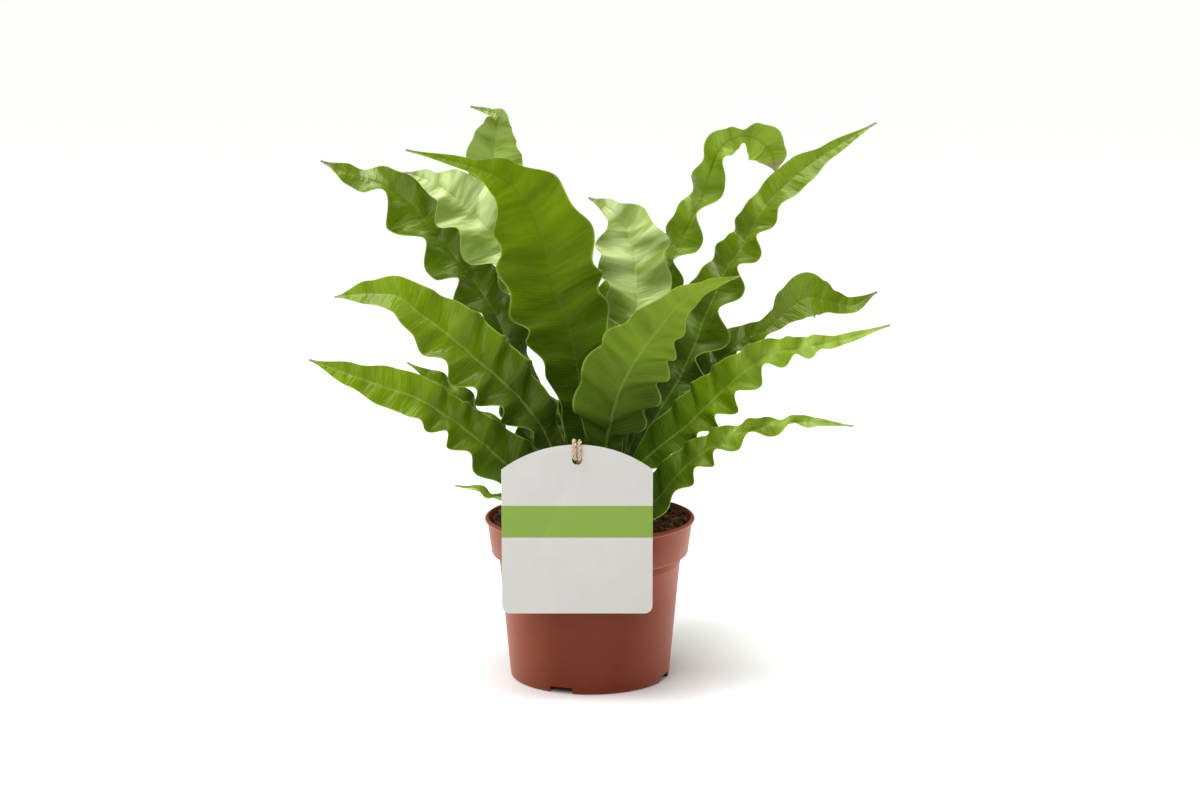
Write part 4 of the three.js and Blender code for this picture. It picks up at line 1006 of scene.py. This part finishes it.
TWINE_RADIUS = 1.2
TWINE_CLEAR = 0.3
PLY_RADIUS = 0.66
PLY_RIDGE = 0.12
PLY_TURN = 5.5
KNOT_REACH, KNOT_RADIUS, KNOT_TURNS = 1.1, 1.5, 3
FUZZ = 170
FUZZ_RADIUS = 0.035
stalk_x, stalk_y = (STALK_LEAN * value for value in FRONDS["front"]["root"])
stalk_z = STALK_NECK + 1
behind = stalk_y + STALK_HALF_WIDTH + 3
front = TAG_BACK_Y - TAG_THICKNESS - TWINE_CLEAR - TWINE_RADIUS
back = TAG_BACK_Y + TWINE_CLEAR + TWINE_RADIUS
over = TAG_TOP + TWINE_CLEAR + TWINE_RADIUS + 0.5
hole = TAG_HOLE_Z
left, right = TAG_X - TWINE_RADIUS - 0.1, TAG_X + TWINE_RADIUS + 0.1

# The route starts and ends at the knot, and has a pass over the tag's edge on either side.
route = np.array([
    (stalk_x - 0.6, behind, stalk_z),
    (stalk_x - 3.5, behind - 2, stalk_z),
    (stalk_x - 5, stalk_y - 3, stalk_z),
    (between(stalk_x, left, 0.5) - 2, between(stalk_y, back, 0.5),
     between(STALK_NECK, over, 0.42)),
    (left - 0.4, back + 4, over - 2.4),
    (left - 0.2, TAG_MIDDLE_Y, over),
    (left - 0.1, front - 0.3, over - 2.4),
    (left, front, hole + 2.8),
    (left, TAG_MIDDLE_Y, hole + 0.4),
    (left, back, hole + 2.2),
    (between(left, right, 0.6), back, over - 3),
    (right + 0.2, TAG_MIDDLE_Y, over),
    (right + 0.1, front - 0.3, over - 2.4),
    (right, front, hole + 2.8),
    (right, TAG_MIDDLE_Y, hole + 0.4),
    (right, back + 0.6, hole - 0.6),
    (between(stalk_x, right, 0.5), between(stalk_y, back, 0.5), between(STALK_NECK, hole, 0.42)),
    (stalk_x + 5, stalk_y - 3, stalk_z),
    (stalk_x + 3.5, behind - 2, stalk_z),
    (stalk_x + 0.6, behind, stalk_z),
])


def plies(points, sides=8, spacing=0.7):
    """Two strands twisted round the middle of a route, as points and faces."""
    length = even_places(points, np.array([1.0]))[1]
    share = np.linspace(0, 1, int(length / spacing) + 1)
    t = even_places(points, share)[0]
    middle = spline(points, t)
    along = headings(points, t, 1e-3)
    side = np.cross(along[0], (0.3, 0.1, 0.9))
    frames = []
    for direction in along:
        side = side - direction * np.dot(side, direction)
        side = side / np.linalg.norm(side)
        frames.append((side, np.cross(direction, side)))
    rows, faces = [], []
    for ply in range(2):
        for i, (a, b) in enumerate(frames):
            twist = math.tau * share[i] * length / PLY_TURN + math.pi * ply
            out = math.cos(twist) * a + math.sin(twist) * b
            centre = middle[i] + out * (TWINE_RADIUS - PLY_RADIUS)
            aside = np.cross(along[i], out)
            for corner in range(sides):
                turn = corner * math.tau / sides
                radius = PLY_RADIUS * (1 + PLY_RIDGE * math.sin(3 * turn + 4 * twist))
                rows.append(centre + radius * (math.cos(turn) * out + math.sin(turn) * aside))
        base = ply * len(frames) * sides
        for i in range(len(frames) - 1):
            for corner in range(sides):
                a = base + i * sides + corner
                b = base + i * sides + (corner + 1) % sides
                faces.append((a, b, b + sides, a + sides))
        last = base + (len(frames) - 1) * sides
        faces.append(tuple(base + corner for corner in reversed(range(sides))))
        faces.append(tuple(last + corner for corner in range(sides)))
    return rows, faces, middle, frames


rows, faces, middle, frames = plies(route)
mesh = bpy.data.meshes.new("twine")
mesh.from_pydata(np.array(rows) * MM, [], faces)
mesh.update()
twine = bpy.data.objects.new("twine_tie", mesh)
bpy.context.collection.objects.link(twine)
wraps = [
    (stalk_x + KNOT_REACH * math.sin(turn / KNOT_TURNS), behind + KNOT_RADIUS * math.cos(turn),
     stalk_z + KNOT_RADIUS * math.sin(turn))
    for turn in np.linspace(0, KNOT_TURNS * math.tau, 8 * KNOT_TURNS + 1)
]
rows, faces, _, _ = plies(np.array(wraps))
append_faces(twine, rows, faces)
fuzz = []
for _ in range(FUZZ):
    i = rng.integers(0, len(middle))
    turn = rng.uniform(0, math.tau)
    out = math.cos(turn) * frames[i][0] + math.sin(turn) * frames[i][1]
    heading, bend = out + rng.normal(size=3) * 0.7, rng.normal(size=3)
    fuzz.append(hair(middle[i] + out, heading, bend, rng.uniform(0.8, 2), FUZZ_RADIUS, 3))
hairs(twine, fuzz)

# Twine of jute is straw-coloured and matte, with darker flecks of about 1 mm.
jute = mottled(
    "jute_twine", {"Scale": 900.0, "Detail": 4.0}, (0.3, 0.7), ("#AE9070", "#E4CDAD"),
    0.6, 0.15, roughness=0.85, specular_ior_level=0.3,
)
done(twine, "tag_tie", jute, angle=60)
